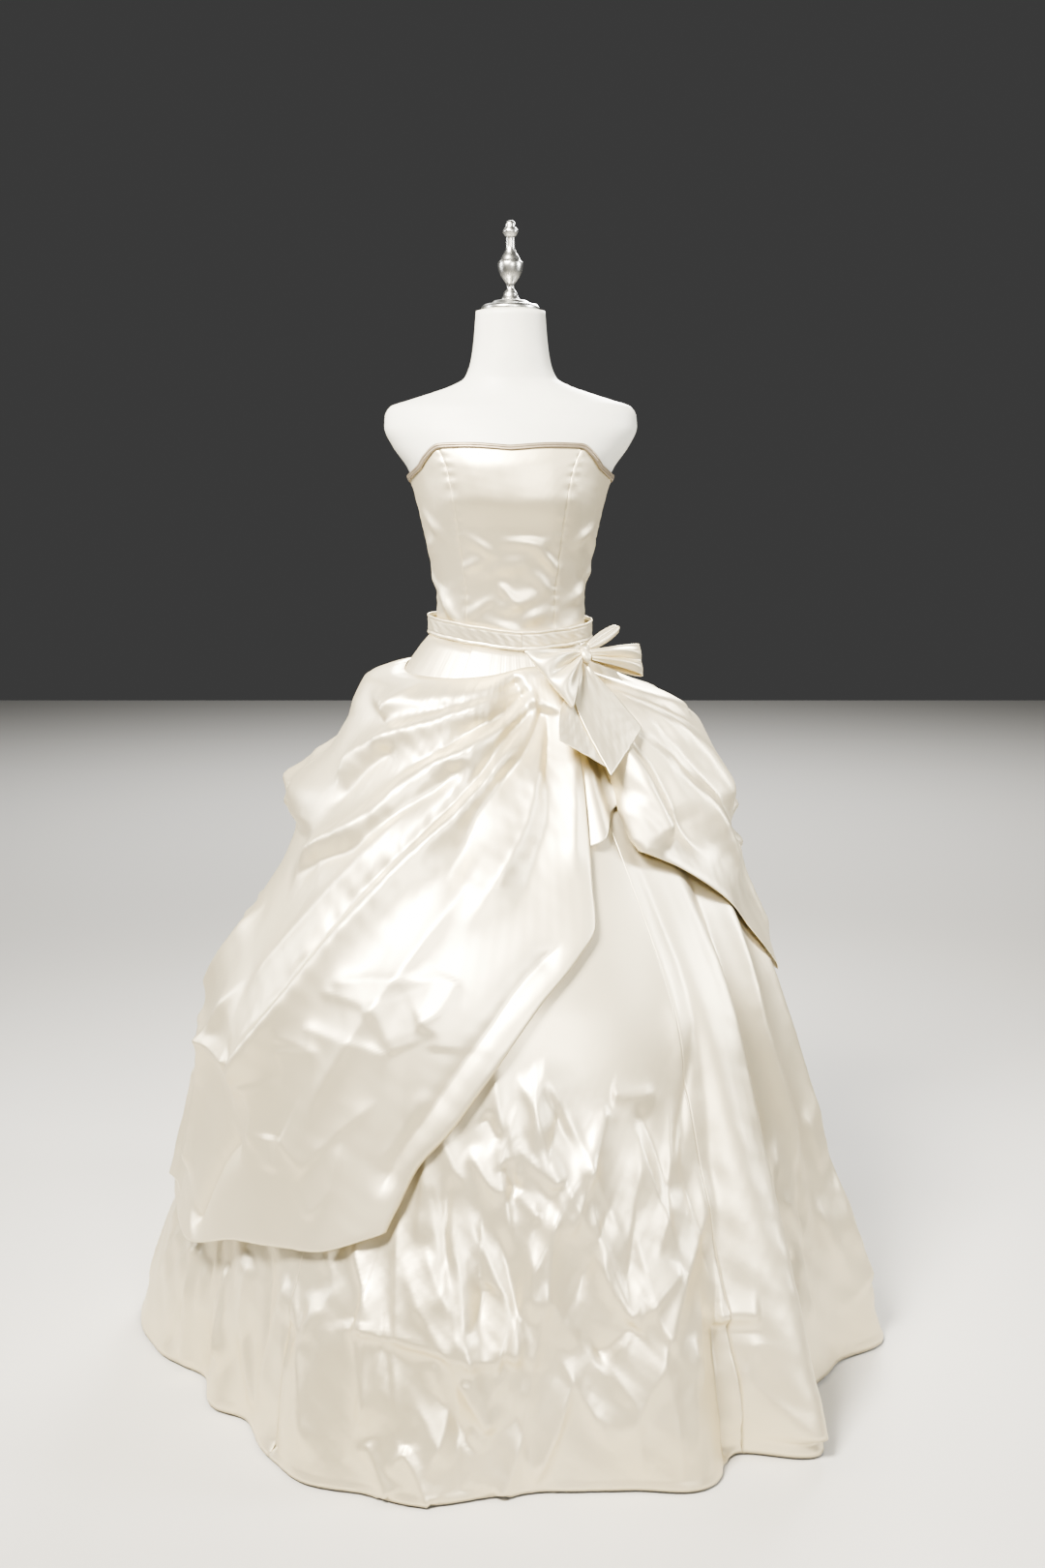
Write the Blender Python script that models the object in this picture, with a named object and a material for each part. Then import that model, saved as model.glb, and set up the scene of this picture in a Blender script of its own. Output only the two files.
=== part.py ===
"""A strapless ball gown of satin on a limbless dress form: bodice, belt, flared underskirt,
draped and bustled overskirt, and a bow. Metres, +Z up, the wearer's front towards -Y.
The origin is on the floor under the form's pole."""

import bmesh
import bpy
import numpy as np

# ---- sizes ---------------------------------------------------------------------------------
wall = 0.0015  # cloth as built: the satin and its seam allowances
seamGap = 0.0004  # left between the pieces at a seam
hemClear = 0.004  # the underskirt's hem stops this far above the floor
beltWall = 0.0024
beltHeight = 0.028
plateRadius = 0.190
plateThick = 0.012
poleRadius = 0.0125
formBottom = 0.815
neckTop = 1.578

# The dress form: half width to the side, depth to the front and to the back, at each height.
formColumns = ("z", "side", "front", "back")
formRows = (
    (0.815, 0.146, 0.098, 0.106),
    (0.870, 0.162, 0.106, 0.126),
    (0.930, 0.168, 0.108, 0.131),
    (0.990, 0.158, 0.102, 0.122),
    (1.045, 0.131, 0.090, 0.100),
    (1.100, 0.110, 0.080, 0.082),
    (1.155, 0.109, 0.084, 0.080),
    (1.205, 0.118, 0.094, 0.085),
    (1.255, 0.129, 0.108, 0.092),
    (1.305, 0.141, 0.120, 0.097),
    (1.345, 0.155, 0.118, 0.099),
    (1.380, 0.179, 0.106, 0.098),
    (1.408, 0.191, 0.094, 0.096),
    (1.424, 0.190, 0.085, 0.092),
    (1.438, 0.182, 0.077, 0.087),
    (1.448, 0.153, 0.069, 0.081),
    (1.458, 0.121, 0.063, 0.075),
    (1.468, 0.092, 0.059, 0.070),
    (1.480, 0.070, 0.056, 0.065),
    (1.505, 0.060, 0.054, 0.059),
    (1.540, 0.055, 0.051, 0.054),
    (1.578, 0.052, 0.049, 0.051),
)

# The underskirt's half width to the side, by the height below the waist seam's own level.
skirtColumns = ("z", "side")
skirtRows = (
    (1.0980, 0.1165),
    (1.0920, 0.1205),
    (1.0860, 0.1270),
    (1.0680, 0.1420),
    (1.0300, 0.1680),
    (0.9500, 0.2150),
    (0.8600, 0.2680),
    (0.7500, 0.3250),
    (0.6500, 0.3720),
    (0.5800, 0.4030),
    (0.4600, 0.4430),
    (0.3400, 0.4800),
    (0.1800, 0.5270),
    (0.0600, 0.5600),
    (0.0000, 0.5750),
)
waistDepth = 0.72  # front-to-back over side-to-side at the waist; the hem is round
roundBy = 0.50  # the skirt is fully round this far below the waist

# The waist seam dips at the front: its height by the angle from the front.
waistSeam = ((-180, 1.108), (-90, 1.105), (-25, 1.090), (10, 1.084), (50, 1.088), (90, 1.097), (180, 1.108))

# The hem's flutes: how far each stands out of the round, and how high it reaches.
fluteColumns = ("azimuth", "out", "width", "reach")
fluteRows = (
    (-168, 0.034, 9, 0.70),
    (-147, -0.030, 9, 0.60),
    (-128, 0.036, 10, 0.75),
    (-108, -0.026, 9, 0.60),
    (-92, 0.026, 8, 0.60),
    (-82, 0.014, 6, 0.30),
    (-61, -0.052, 8, 0.50),
    (-45, -0.040, 6, 0.40),
    (-26, 0.034, 7, 0.42),
    (-12, 0.034, 7, 0.36),
    (4, -0.010, 6, 0.30),
    (25, 0.042, 7, 0.50),
    (33, -0.026, 4, 0.60),
    (42, 0.064, 5, 0.78),
    (57, -0.044, 8, 0.82),
    (68, -0.030, 6, 0.60),
    (77, 0.026, 6, 0.85),
    (90, -0.022, 7, 0.60),
    (104, 0.038, 9, 0.80),
    (124, -0.030, 10, 0.70),
    (143, 0.034, 9, 0.75),
    (160, -0.026, 9, 0.60),
    (179, 0.018, 9, 0.60),
)

# How far the overskirt stands off the underskirt, by height, at six angles round the waist.
liftAngles = (-180, -90, -38, 10, 48, 90, 180)
liftColumns = ("z", "back", "left", "leftFront", "front", "rightFront", "right")
liftRows = (
    (1.060, 0.030, 0.024, 0.010, 0.010, 0.010, 0.006),
    (1.030, 0.075, 0.054, 0.016, 0.014, 0.022, 0.020),
    (1.000, 0.096, 0.052, 0.022, 0.018, 0.034, 0.058),
    (0.965, 0.100, 0.044, 0.024, 0.020, 0.042, 0.081),
    (0.930, 0.088, 0.044, 0.026, 0.022, 0.044, 0.077),
    (0.900, 0.062, 0.056, 0.028, 0.022, 0.042, 0.074),
    (0.865, 0.074, 0.076, 0.030, 0.022, 0.038, 0.070),
    (0.830, 0.086, 0.060, 0.032, 0.022, 0.032, 0.056),
    (0.795, 0.080, 0.028, 0.034, 0.022, 0.026, 0.038),
    (0.750, 0.056, 0.028, 0.036, 0.022, 0.022, 0.022),
    (0.700, 0.068, 0.036, 0.040, 0.022, 0.020, 0.016),
    (0.640, 0.072, 0.046, 0.042, 0.022, 0.018, 0.018),
    (0.575, 0.056, 0.052, 0.042, 0.020, 0.018, 0.012),
    (0.490, 0.048, 0.044, 0.038, 0.020, 0.016, 0.014),
    (0.400, 0.034, 0.024, 0.032, 0.020, 0.016, 0.014),
    (0.250, 0.020, 0.014, 0.020, 0.018, 0.016, 0.014),
)

# Tucks of the bustle, where the overskirt is caught up to the waist behind: depth inwards.
tuckColumns = ("azimuth", "z", "depth", "wide", "tall")
tuckRows = (
    (-118, 0.900, 0.040, 8, 0.050),
    (-150, 0.860, 0.036, 8, 0.045),
    (152, 0.870, 0.036, 8, 0.045),
    (120, 0.850, 0.038, 8, 0.050),
    (-170, 0.700, 0.030, 8, 0.045),
    (-132, 0.660, 0.030, 8, 0.045),
    (136, 0.680, 0.030, 8, 0.045),
    (104, 0.720, 0.014, 6, 0.040),
)

# The overskirt's main folds, each along its own line on the skirt. Out is the crest's height,
# above and below the reach of its two sides, crest how blunt it is.
foldColumns = ("line", "out", "above", "below", "crest")
foldRows = (
    (((12, 1.041), (-14, 1.022), (-44, 1.010), (-72, 1.000)), 0.010, 0.014, 0.018, 0.012),
    (((10, 1.034), (-14, 1.008), (-35, 0.980), (-52, 0.952), (-60, 0.920), (-62, 0.860)), 0.018, 0.014, 0.034, 0.012),
    (((17, 1.010), (-3, 0.974), (-19, 0.942), (-29, 0.922), (-39, 0.860), (-57, 0.795), (-66, 0.735)), 0.020, 0.016, 0.036, 0.012),
    (((18, 1.007), (3, 0.960), (-6, 0.915), (-16, 0.862), (-25, 0.814), (-32, 0.752), (-38, 0.690), (-44, 0.610), (-51, 0.510), (-55, 0.421)), 0.022, 0.036, 0.026, 0.010),
    (((19, 0.996), (12, 0.937), (7, 0.875), (1, 0.816), (-5, 0.765), (-12, 0.690)), 0.010, 0.030, 0.024, 0.012),
    (((48, 1.034), (56, 1.010), (64, 0.985), (72, 0.946), (77, 0.880), (80, 0.800)), 0.012, 0.020, 0.030, 0.012),
    (((44, 1.020), (45, 0.960), (45, 0.900), (46, 0.850), (50, 0.800)), 0.014, 0.024, 0.024, 0.010),
    (((50, 1.020), (58, 0.950), (64, 0.890), (70, 0.810), (80, 0.700)), 0.012, 0.024, 0.028, 0.012),
)

# The overskirt's edges, each as (azimuth, height): its top, its hem from the swag's lowest
# corner round the back to the right, and the swag's turned front edge as (height, azimuth).
overTop = (
    (-180, 1.058), (-125, 1.060), (-95, 1.054), (-74, 1.040), (-44, 1.037), (-16, 1.042), (15, 1.054),
    (40, 1.056), (60, 1.044), (80, 1.026), (95, 1.024), (125, 1.045), (180, 1.058),
)
overHem = (
    (-180, 0.420), (-150, 0.380), (-120, 0.310), (-90, 0.240), (-66, 0.212), (-48, 0.262), (-37, 0.279),
    (-30, 0.290), (-22, 0.318), (-18, 0.333),
)
rightHem = (
    (38, 0.802), (41, 0.795), (49, 0.774), (57, 0.744), (66, 0.700), (71, 0.655), (78, 0.600), (90, 0.565),
    (120, 0.520), (150, 0.470), (180, 0.420),
)
swagEdge = (
    (1.060, 33), (1.022, 32), (0.962, 31), (0.920, 29), (0.872, 26.5), (0.822, 24), (0.762, 21.5), (0.714, 20),
    (0.679, 15), (0.622, 6), (0.526, -4), (0.461, -10), (0.412, -15), (0.362, -17.5), (0.333, -19), (0.250, -22),
)
rightEdge = ((1.060, 36), (0.990, 37), (0.930, 38.5), (0.890, 39), (0.850, 37), (0.820, 37), (0.795, 39), (0.700, 40))
edgeRound = 0.016  # the radius of the rolled edges
edgeLift = 0.019  # the rolled edges stand this far off the underskirt

# The bow: where its knot lies on the drape, and how each of its pieces faces, in degrees
# round the waist from the front and up from the level.
knotAt = np.array((0.1050, -0.1043, 1.0643))
knotHigh = 0.0140  # the knot's middle over the tails' plane
bowFacing = {"knot": (32, 38), "left": (28, 36), "right": (40, 22), "streamer": (35, 20)}

champagne = (0.80, 0.75, 0.66)
taupe = (0.52, 0.45, 0.37)
whiteForm = (0.85, 0.84, 0.80)
silver = (0.72, 0.72, 0.71)
paintedSteel = (0.62, 0.61, 0.58)


# ---- curves and surfaces -------------------------------------------------------------------
def smooth(x, rows, column=1):
    """A smooth curve through (x, value) rows that never overshoots them."""
    table = np.array(sorted(rows, key=lambda row: row[0]), float)
    xs, ys = table[:, 0], table[:, column]
    gap = np.diff(xs)
    slope = np.diff(ys) / gap
    tangent = np.zeros_like(ys)
    same = slope[:-1] * slope[1:] > 0
    tangent[1:-1][same] = (2 * slope[:-1] * slope[1:])[same] / (slope[:-1] + slope[1:])[same]
    tangent[0], tangent[-1] = slope[0], slope[-1]
    x = np.clip(x, xs[0], xs[-1])
    i = np.clip(np.searchsorted(xs, x) - 1, 0, len(xs) - 2)
    s = (x - xs[i]) / gap[i]
    return (
        (2 * s**3 - 3 * s**2 + 1) * ys[i]
        + (s**3 - 2 * s**2 + s) * gap[i] * tangent[i]
        + (3 * s**2 - 2 * s**3) * ys[i + 1]
        + (s**3 - s**2) * gap[i] * tangent[i + 1]
    )


def ease(x):
    x = np.clip(x, 0, 1)
    return x * x * (3 - 2 * x)


def torso(turn, z, out=0.0):
    """A point of the form's section at z, out metres off it; turn is in degrees from the front."""
    side = smooth(z, formRows, 1) + out
    front = smooth(z, formRows, 2) + out
    back = smooth(z, formRows, 3) + out
    bust = 1 + 0.055 * np.exp(-(((np.abs(turn) - 34) / 20) ** 2) - ((z - 1.298) / 0.048) ** 2)
    s, c = np.sin(np.radians(turn)), np.cos(np.radians(turn))
    depth = np.where(c > 0, front * bust, back)
    return np.stack([side * s, -depth * c, z + 0 * s], -1)


def seamHeight(azimuth):
    return smooth(azimuth, waistSeam)


def skirtRadius(azimuth, z):
    """The underskirt before its flutes."""
    level = z + (1.098 - seamHeight(azimuth)) * ease((z - 0.7) / 0.35)
    side = smooth(level, skirtRows)
    deep = side * (waistDepth + (1 - waistDepth) * ease((1.098 - level) / roundBy))
    s, c = np.sin(np.radians(azimuth)), np.cos(np.radians(azimuth))
    return side * deep / np.sqrt((deep * s) ** 2 + (side * c) ** 2)


def flutes(azimuth, z):
    out = 0 * azimuth
    for centre, depth, width, reach in fluteRows:
        away = (azimuth - centre + 180) % 360 - 180
        wide = width * (1 + 0.6 * z / reach)
        out = out + depth * np.exp(-((away / wide) ** 2)) * np.clip(1 - z / reach, 0, 1) ** 1.2
    return out


def around(azimuth, radius, z):
    a = np.radians(azimuth)
    return np.stack([radius * np.sin(a), -radius * np.cos(a), z + 0 * a], -1)


def underskirt(azimuth, z):
    return around(azimuth, skirtRadius(azimuth, z) + flutes(azimuth, z), z)


def lineDistance(azimuth, z, line):
    """Signed distance on the skirt to a line of (azimuth, z) points, + above it, and how far
    along the line the nearest point is, from 0 to 1."""
    reach = smooth(z, skirtRows)
    x, y = np.radians(azimuth) * reach, z
    pts = np.array([(np.radians(a) * float(smooth(h, skirtRows)), h) for a, h in line])
    steps = np.linalg.norm(np.diff(pts, axis=0), axis=1)
    total = steps.sum()
    best = np.full(np.shape(x), 9.0)
    side, along = np.zeros_like(best), np.zeros_like(best)
    done = 0.0
    for a, b, step in zip(pts[:-1], pts[1:], steps):
        d = (b - a) / step
        t = np.clip((x - a[0]) * d[0] + (y - a[1]) * d[1], 0, step)
        dx, dy = x - a[0] - t * d[0], y - a[1] - t * d[1]
        away = np.hypot(dx, dy)
        near = away < best
        # Lines run away from the bow, so that the side is read from the way they turn.
        sign = np.sign((d[0] * dy - d[1] * dx) * np.sign(d[0] + 1e-9))
        best = np.where(near, away, best)
        side = np.where(near, sign, side)
        along = np.where(near, (done + t) / total, along)
        done += step
    return best * side, along


def folds(azimuth, z):
    out = 0 * azimuth
    for line, height, above, below, crest in foldRows:
        d, along = lineDistance(azimuth, z, line)
        wide = np.where(d > 0, above, below) * (0.35 + 0.65 * ease(along * 2.5))
        shape = np.exp(-(np.sqrt(d * d + crest * crest) - crest) / wide)
        out = out + height * shape * ease(along * 3 + 0.25) * ease((1 - along) * 5 + 0.15)
    return out


def lift(azimuth, z):
    """How far the overskirt stands off the underskirt, folds and tucks included."""
    rows = [smooth(z, liftRows, k) for k in (1, 2, 3, 4, 5, 6, 1)]
    azimuth = np.clip(azimuth, -180, 180)
    out = 0 * azimuth + rows[0]
    for a, b, low, high in zip(liftAngles[:-1], liftAngles[1:], rows[:-1], rows[1:]):
        part = ease((azimuth - a) / (b - a))
        out = np.where((azimuth >= a) & (azimuth <= b), low + (high - low) * part, out)
    for centre, level, depth, wide, tall in tuckRows:
        away = (azimuth - centre + 180) % 360 - 180
        out = out - depth * np.exp(-((away / wide) ** 2) - ((z - level) / tall) ** 2)
    return np.maximum(out, 0.012) + folds(azimuth, z)


def overskirt(azimuth, z, edge):
    """A point of the overskirt; edge is its distance from the nearest free edge."""
    rolled = np.sqrt(1 - (1 - np.clip(edge / edgeRound, 0, 1)) ** 2)
    full = lift(azimuth, z)
    top = smooth(azimuth, overTop) - z
    held = np.where(top < 0.03, 0.0024 + (edgeLift - 0.0024) * ease(top / 0.03), edgeLift)
    low = np.minimum(held, full)
    return around(azimuth, skirtRadius(azimuth, z) + np.maximum(flutes(azimuth, z), 0) + low + (full - low) * rolled, z)


# ---- makers --------------------------------------------------------------------------------
def material(name, colour, roughness, metallic=0.0):
    made = bpy.data.materials.new(name)
    made.use_nodes = True
    shader = made.node_tree.nodes["Principled BSDF"]
    shader.inputs["Base Color"].default_value = (*colour, 1)
    shader.inputs["Roughness"].default_value = roughness
    shader.inputs["Metallic"].default_value = metallic
    made.diffuse_color = (*colour, 1)
    return made


def place(name, mesh, colour, roughness=0.38, metallic=0.0):
    for polygon in mesh.polygons:
        polygon.use_smooth = True
    piece = bpy.data.objects.new(name, mesh)
    piece.data.materials.append(material(name, colour, roughness, metallic))
    gown.objects.link(piece)
    piece.parent = origin
    return piece


def shell(name, surface, u, v, colour, thick=wall, roughness=0.38, step=(0.01, 0.01)):
    """A wall of cloth. surface(u, v) gives the points of its middle; its two faces are half a
    wall to each side along the normals, which neighbours share at a seam."""
    p = surface(u, v)
    du = surface(u + step[0], v) - surface(u - step[0], v)
    dv = surface(u, v + step[1]) - surface(u, v - step[1])
    n = np.cross(du, dv)
    n /= np.linalg.norm(n, axis=-1, keepdims=True) + 1e-12
    rows, columns = p.shape[:2]
    points = np.concatenate([(p + n * thick / 2).reshape(-1, 3), (p - n * thick / 2).reshape(-1, 3)])
    at = np.arange(rows * columns).reshape(rows, columns)
    under = at + rows * columns
    faces = []
    for i in range(rows - 1):
        for j in range(columns - 1):
            faces.append((at[i, j], at[i + 1, j], at[i + 1, j + 1], at[i, j + 1]))
            faces.append((under[i, j], under[i, j + 1], under[i + 1, j + 1], under[i + 1, j]))
    rim = [*at[:, 0], *at[-1, 1:], *at[-2::-1, -1], *at[0, -2:0:-1]]
    low = [*under[:, 0], *under[-1, 1:], *under[-2::-1, -1], *under[0, -2:0:-1]]
    for k in range(len(rim)):
        m = (k + 1) % len(rim)
        faces.append((rim[m], rim[k], low[k], low[m]))
    mesh = bpy.data.meshes.new(name)
    mesh.from_pydata(points.tolist(), [], [tuple(int(q) for q in face) for face in faces])
    built = bmesh.new()
    built.from_mesh(mesh)
    faceOut(built)
    built.to_mesh(mesh)
    built.free()
    return place(name, mesh, colour, roughness)


def turned(name, rows, colour, steps=40, roughness=0.3, metallic=0.0):
    """A solid turned about the pole from (z, radius) rows, closed on the axis at both ends."""
    built = bmesh.new()
    profile = [(rows[0][0], 0.0), *rows, (rows[-1][0], 0.0)]
    points = [built.verts.new((radius, 0, z)) for z, radius in profile]
    lines = [built.edges.new(pair) for pair in zip(points[:-1], points[1:])]
    bmesh.ops.spin(
        built, geom=points + lines, axis=(0, 0, 1), cent=(0, 0, 0), angle=2 * np.pi, steps=steps, use_merge=True
    )
    bmesh.ops.remove_doubles(built, verts=built.verts, dist=1e-6)
    faceOut(built)
    mesh = bpy.data.meshes.new(name)
    built.to_mesh(mesh)
    built.free()
    return place(name, mesh, colour, roughness, metallic)


def faceOut(built):
    bmesh.ops.recalc_face_normals(built, faces=built.faces)
    if built.calc_volume(signed=True) < 0:
        bmesh.ops.reverse_faces(built, faces=built.faces)


def span(low, high, count):
    return np.linspace(low, high, count + 1)


def grid(u, v):
    return np.meshgrid(u, v, indexing="ij")


# ---- the scene -----------------------------------------------------------------------------
for old in list(bpy.data.objects):
    bpy.data.objects.remove(old, do_unlink=True)
gown = bpy.data.collections.new("ball_gown")
bpy.context.scene.collection.children.link(gown)
origin = bpy.data.objects.new("gown_origin", None)
gown.objects.link(origin)

# ---- the dress form and its stand ----------------------------------------------------------
turned(
    "stand_plate",
    (
        (0.0, plateRadius - 0.002),
        (0.002, plateRadius),
        (0.007, plateRadius),
        (0.009, plateRadius - 0.003),
        (0.0105, 0.060),
        (plateThick, 0.030),
        (plateThick + 0.016, 0.022),
        (plateThick + 0.018, 0.020),
    ),
    paintedSteel,
    steps=56,
    roughness=0.35,
    metallic=0.6,
)
turned(
    "stand_pole",
    (
        (plateThick + 0.0184, poleRadius),
        (formBottom - 0.0003, poleRadius),
    ),
    silver,
    steps=24,
    roughness=0.22,
    metallic=1.0,
)


def formBody():
    rings = [row[0] for row in formRows]
    levels = []
    for low, high in zip(rings[:-1], rings[1:]):
        levels += [low] if high - low < 0.03 else [low, (low + high) / 2]
    levels.append(rings[-1])
    turns = span(-180, 180, 44)[:-1]
    built = bmesh.new()
    loops = []
    for z in levels:
        points = torso(turns, np.full(turns.shape, z))
        loops.append([built.verts.new(point) for point in points])
    count = len(turns)
    for low, high in zip(loops[:-1], loops[1:]):
        for i in range(count):
            j = (i + 1) % count
            built.faces.new((low[i], low[j], high[j], high[i]))
    built.faces.new(loops[0][::-1])
    built.faces.new(loops[-1])
    faceOut(built)
    mesh = bpy.data.meshes.new("dress_form")
    built.to_mesh(mesh)
    built.free()
    piece = place("dress_form", mesh, whiteForm, 0.45)
    for polygon in mesh.polygons:
        polygon.use_smooth = len(polygon.vertices) == 4
    return piece


formBody()
turned(
    "neck_cap",
    (
        (neckTop + 0.0003, 0.0435),
        (1.5840, 0.0435),
        (1.5872, 0.0400),
        (1.5885, 0.0290),
        (1.5925, 0.0260),
        (1.5950, 0.0150),
    ),
    silver,
    steps=40,
    roughness=0.18,
    metallic=1.0,
)
turned(
    "finial",
    (
        (1.5953, 0.0148),
        (1.6000, 0.0115),
        (1.6050, 0.0100),
        (1.6090, 0.0070),
        (1.6130, 0.0055),
        (1.6180, 0.0066),
        (1.6230, 0.0100),
        (1.6300, 0.0148),
        (1.6370, 0.0176),
        (1.6440, 0.0188),
        (1.6485, 0.0184),
        (1.6520, 0.0155),
        (1.6580, 0.0125),
        (1.6640, 0.0086),
        (1.6720, 0.0066),
        (1.6840, 0.0065),
        (1.6890, 0.0095),
        (1.6930, 0.0115),
        (1.6970, 0.0105),
        (1.7000, 0.0078),
        (1.7040, 0.0075),
        (1.7080, 0.0055),
        (1.7095, 0.0028),
    ),
    silver,
    steps=24,
    roughness=0.18,
    metallic=1.0,
)

# ---- the bodice ----------------------------------------------------------------------------
bodiceOut = 0.0034
# The neckline's height by the turn from the front: it dips under the arms and behind.
neckline = (
    (0, 1.376), (20, 1.380), (34, 1.379), (46, 1.364), (58, 1.347), (75, 1.336), (90, 1.332), (120, 1.318),
    (150, 1.304), (180, 1.300),
)


def bodice(turn, share):
    """share runs from the waist seam, 0, to the neckline, 1."""
    top = smooth(np.abs(turn), neckline)
    low = seamHeight(turn) + 0.0017
    z = low + (top - low) * share
    return torso(turn, z, bodiceOut)


def bodicePanel(name, start, end, across):
    u, v = grid(span(start, end, across), span(0, 1, 7))
    middle = (start + end) / 2

    def surface(u, v):
        inset = np.degrees(seamGap / 2 / 0.13)
        squeeze = 1 - inset / (abs(end - start) / 2)
        return bodice(middle + (u - middle) * squeeze, v)

    shell(name, surface, u, v, champagne, step=(1.5, 0.03))


bodicePanel("bodice_centre_front", -36, 36, 8)
bodicePanel("bodice_side_front_left", -92, -36, 6)
bodicePanel("bodice_side_front_right", 36, 92, 6)
bodicePanel("bodice_side_back_left", -140, -92, 5)
bodicePanel("bodice_side_back_right", 92, 140, 5)
bodicePanel("bodice_back_left", -180, -140, 4)
bodicePanel("bodice_back_right", 140, 180, 4)


def bindingSurface(u, v):
    """A folded strip over the neckline: v goes round its small section, u round the neck."""
    top = smooth(np.abs((u + 180) % 360 - 180), neckline)
    return torso(u, top - 0.0022 + 0.0050 * np.sin(v), bodiceOut + 0.0028 + 0.0009 * np.cos(v))


def bindingPiece():
    turns = span(-180, 180, 44)[:-1]
    angles = span(0, 2 * np.pi, 6)[:-1]
    u, v = grid(turns, angles)
    points = bindingSurface(u, v)
    rows, columns = points.shape[:2]
    at = np.arange(rows * columns).reshape(rows, columns)
    faces = []
    for i in range(rows):
        for j in range(columns):
            k, m = (i + 1) % rows, (j + 1) % columns
            faces.append(tuple(int(q) for q in (at[i, j], at[k, j], at[k, m], at[i, m])))
    mesh = bpy.data.meshes.new("neckline_binding")
    mesh.from_pydata(points.reshape(-1, 3).tolist(), [], faces)
    built = bmesh.new()
    built.from_mesh(mesh)
    faceOut(built)
    built.to_mesh(mesh)
    built.free()
    place("neckline_binding", mesh, taupe, 0.4)


bindingPiece()

# ---- the belt ------------------------------------------------------------------------------
beltStart, beltTurns = 26, 376


def beltSurface(u, v):
    """u runs the belt's length from its under end to its upper one, v up its height."""
    azimuth = beltStart - u * beltTurns
    ring = (azimuth + 180) % 360 - 180
    overlap = 0.0032 * ease((u - 0.90) / 0.06)
    slack = 0.0024 * np.exp(-(((ring + 95) / 45) ** 2))
    low = seamHeight(ring) - 0.006
    return around(azimuth, skirtRadius(ring, low) + 0.0037 + slack + overlap, low + beltHeight * v)


u, v = grid(span(0, 1, 50), span(0, 1, 1))
shell("waist_belt", beltSurface, u, v, champagne, thick=beltWall, step=(0.002, 0.02))

# ---- the underskirt ------------------------------------------------------------------------
skirtLevels = np.array((0.0, 0.006, 0.03, 0.08, 0.16, 0.27, 0.40, 0.54, 0.68, 0.80, 0.91, 1.0))


def gore(name, start, end, across):
    u, v = grid(span(-1, 1, across), skirtLevels)
    middle, half = (start + end) / 2, (end - start) / 2

    def surface(u, v):
        top = seamHeight(middle + half * u) - 0.0010
        z = top + (hemClear - top) * v
        radius = skirtRadius(middle + half * u, z)
        inset = np.degrees(seamGap / 2 / radius)
        return underskirt(middle + u * (half - inset), z)

    shell(name, surface, u, v, champagne, step=(0.02, 0.004))


gore("underskirt_front", -36, 36, 15)
gore("underskirt_side_left", -108, -36, 15)
gore("underskirt_side_right", 36, 108, 15)
gore("underskirt_back_left", -180, -108, 13)
gore("underskirt_back_right", 108, 180, 13)

# ---- the overskirt -------------------------------------------------------------------------
def swagGrid(u, v):
    """u from the turned front edge, 0, to the side seam, 1; v from the top, 0, to the hem, 1."""
    edgeTop, edgeLow = 1.056, 0.333
    z0 = edgeTop + (edgeLow - edgeTop) * v
    start = smooth(z0, swagEdge)
    azimuth = start + (-90 - start) * u
    top = smooth(azimuth, overTop)
    low = smooth(azimuth, overHem)
    return azimuth, top + (low - top) * v


def swag(u, v):
    azimuth, z = swagGrid(np.clip(u, -0.2, 1.2), np.clip(v, 0, 1))
    radius = skirtRadius(azimuth, z)
    a0, z0 = swagGrid(0 * u, np.clip(v, 0, 1))
    edge = np.hypot(np.radians(a0 - azimuth) * radius, z0 - z)
    hem = z - smooth(azimuth, overHem)
    top = smooth(azimuth, overTop) - z
    return overskirt(azimuth, z, np.minimum(np.minimum(edge * 0.8, hem + 0.006), top))


acrossSwag = np.concatenate([(0.0, 0.012, 0.05), np.linspace(0.10, 1, 15)])
downSwag = np.concatenate([(0.0, 0.006, 0.02, 0.05), np.linspace(0.10, 0.97, 14), (1.0,)])
u, v = grid(acrossSwag, downSwag)
shell("overskirt_swag_left", swag, u, v, champagne, step=(0.008, 0.006))


def rightGrid(u, v):
    z0 = 1.056 + (0.802 - 1.056) * v
    start = smooth(z0, rightEdge)
    azimuth = start + (90 - start) * u
    top = smooth(azimuth, overTop)
    low = smooth(azimuth, rightHem)
    return azimuth, top + (low - top) * v


def rightDrape(u, v):
    azimuth, z = rightGrid(u, np.clip(v, 0, 1))
    radius = skirtRadius(azimuth, z)
    a0, z0 = rightGrid(0 * u, np.clip(v, 0, 1))
    edge = np.hypot(np.radians(a0 - azimuth) * radius, z0 - z)
    hem = z - smooth(azimuth, rightHem)
    top = smooth(azimuth, overTop) - z
    return overskirt(azimuth, z, np.minimum(np.minimum(edge * 0.8, hem + 0.002), top))


u, v = grid(np.concatenate([(0.0, 0.03, 0.09), np.linspace(0.18, 1, 10)]), np.concatenate([(0.0, 0.02, 0.06), np.linspace(0.13, 0.95, 11), (1.0,)]))
shell("overskirt_drape_right", rightDrape, u, v, champagne, step=(0.012, 0.01))


def backGrid(u, v, start, end, hemRows):
    middle, half = (start + end) / 2, (end - start) / 2
    azimuth = middle + half * u
    top = smooth(azimuth, overTop)
    low = smooth(azimuth, hemRows)
    return azimuth, top + (low - top) * v


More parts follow.
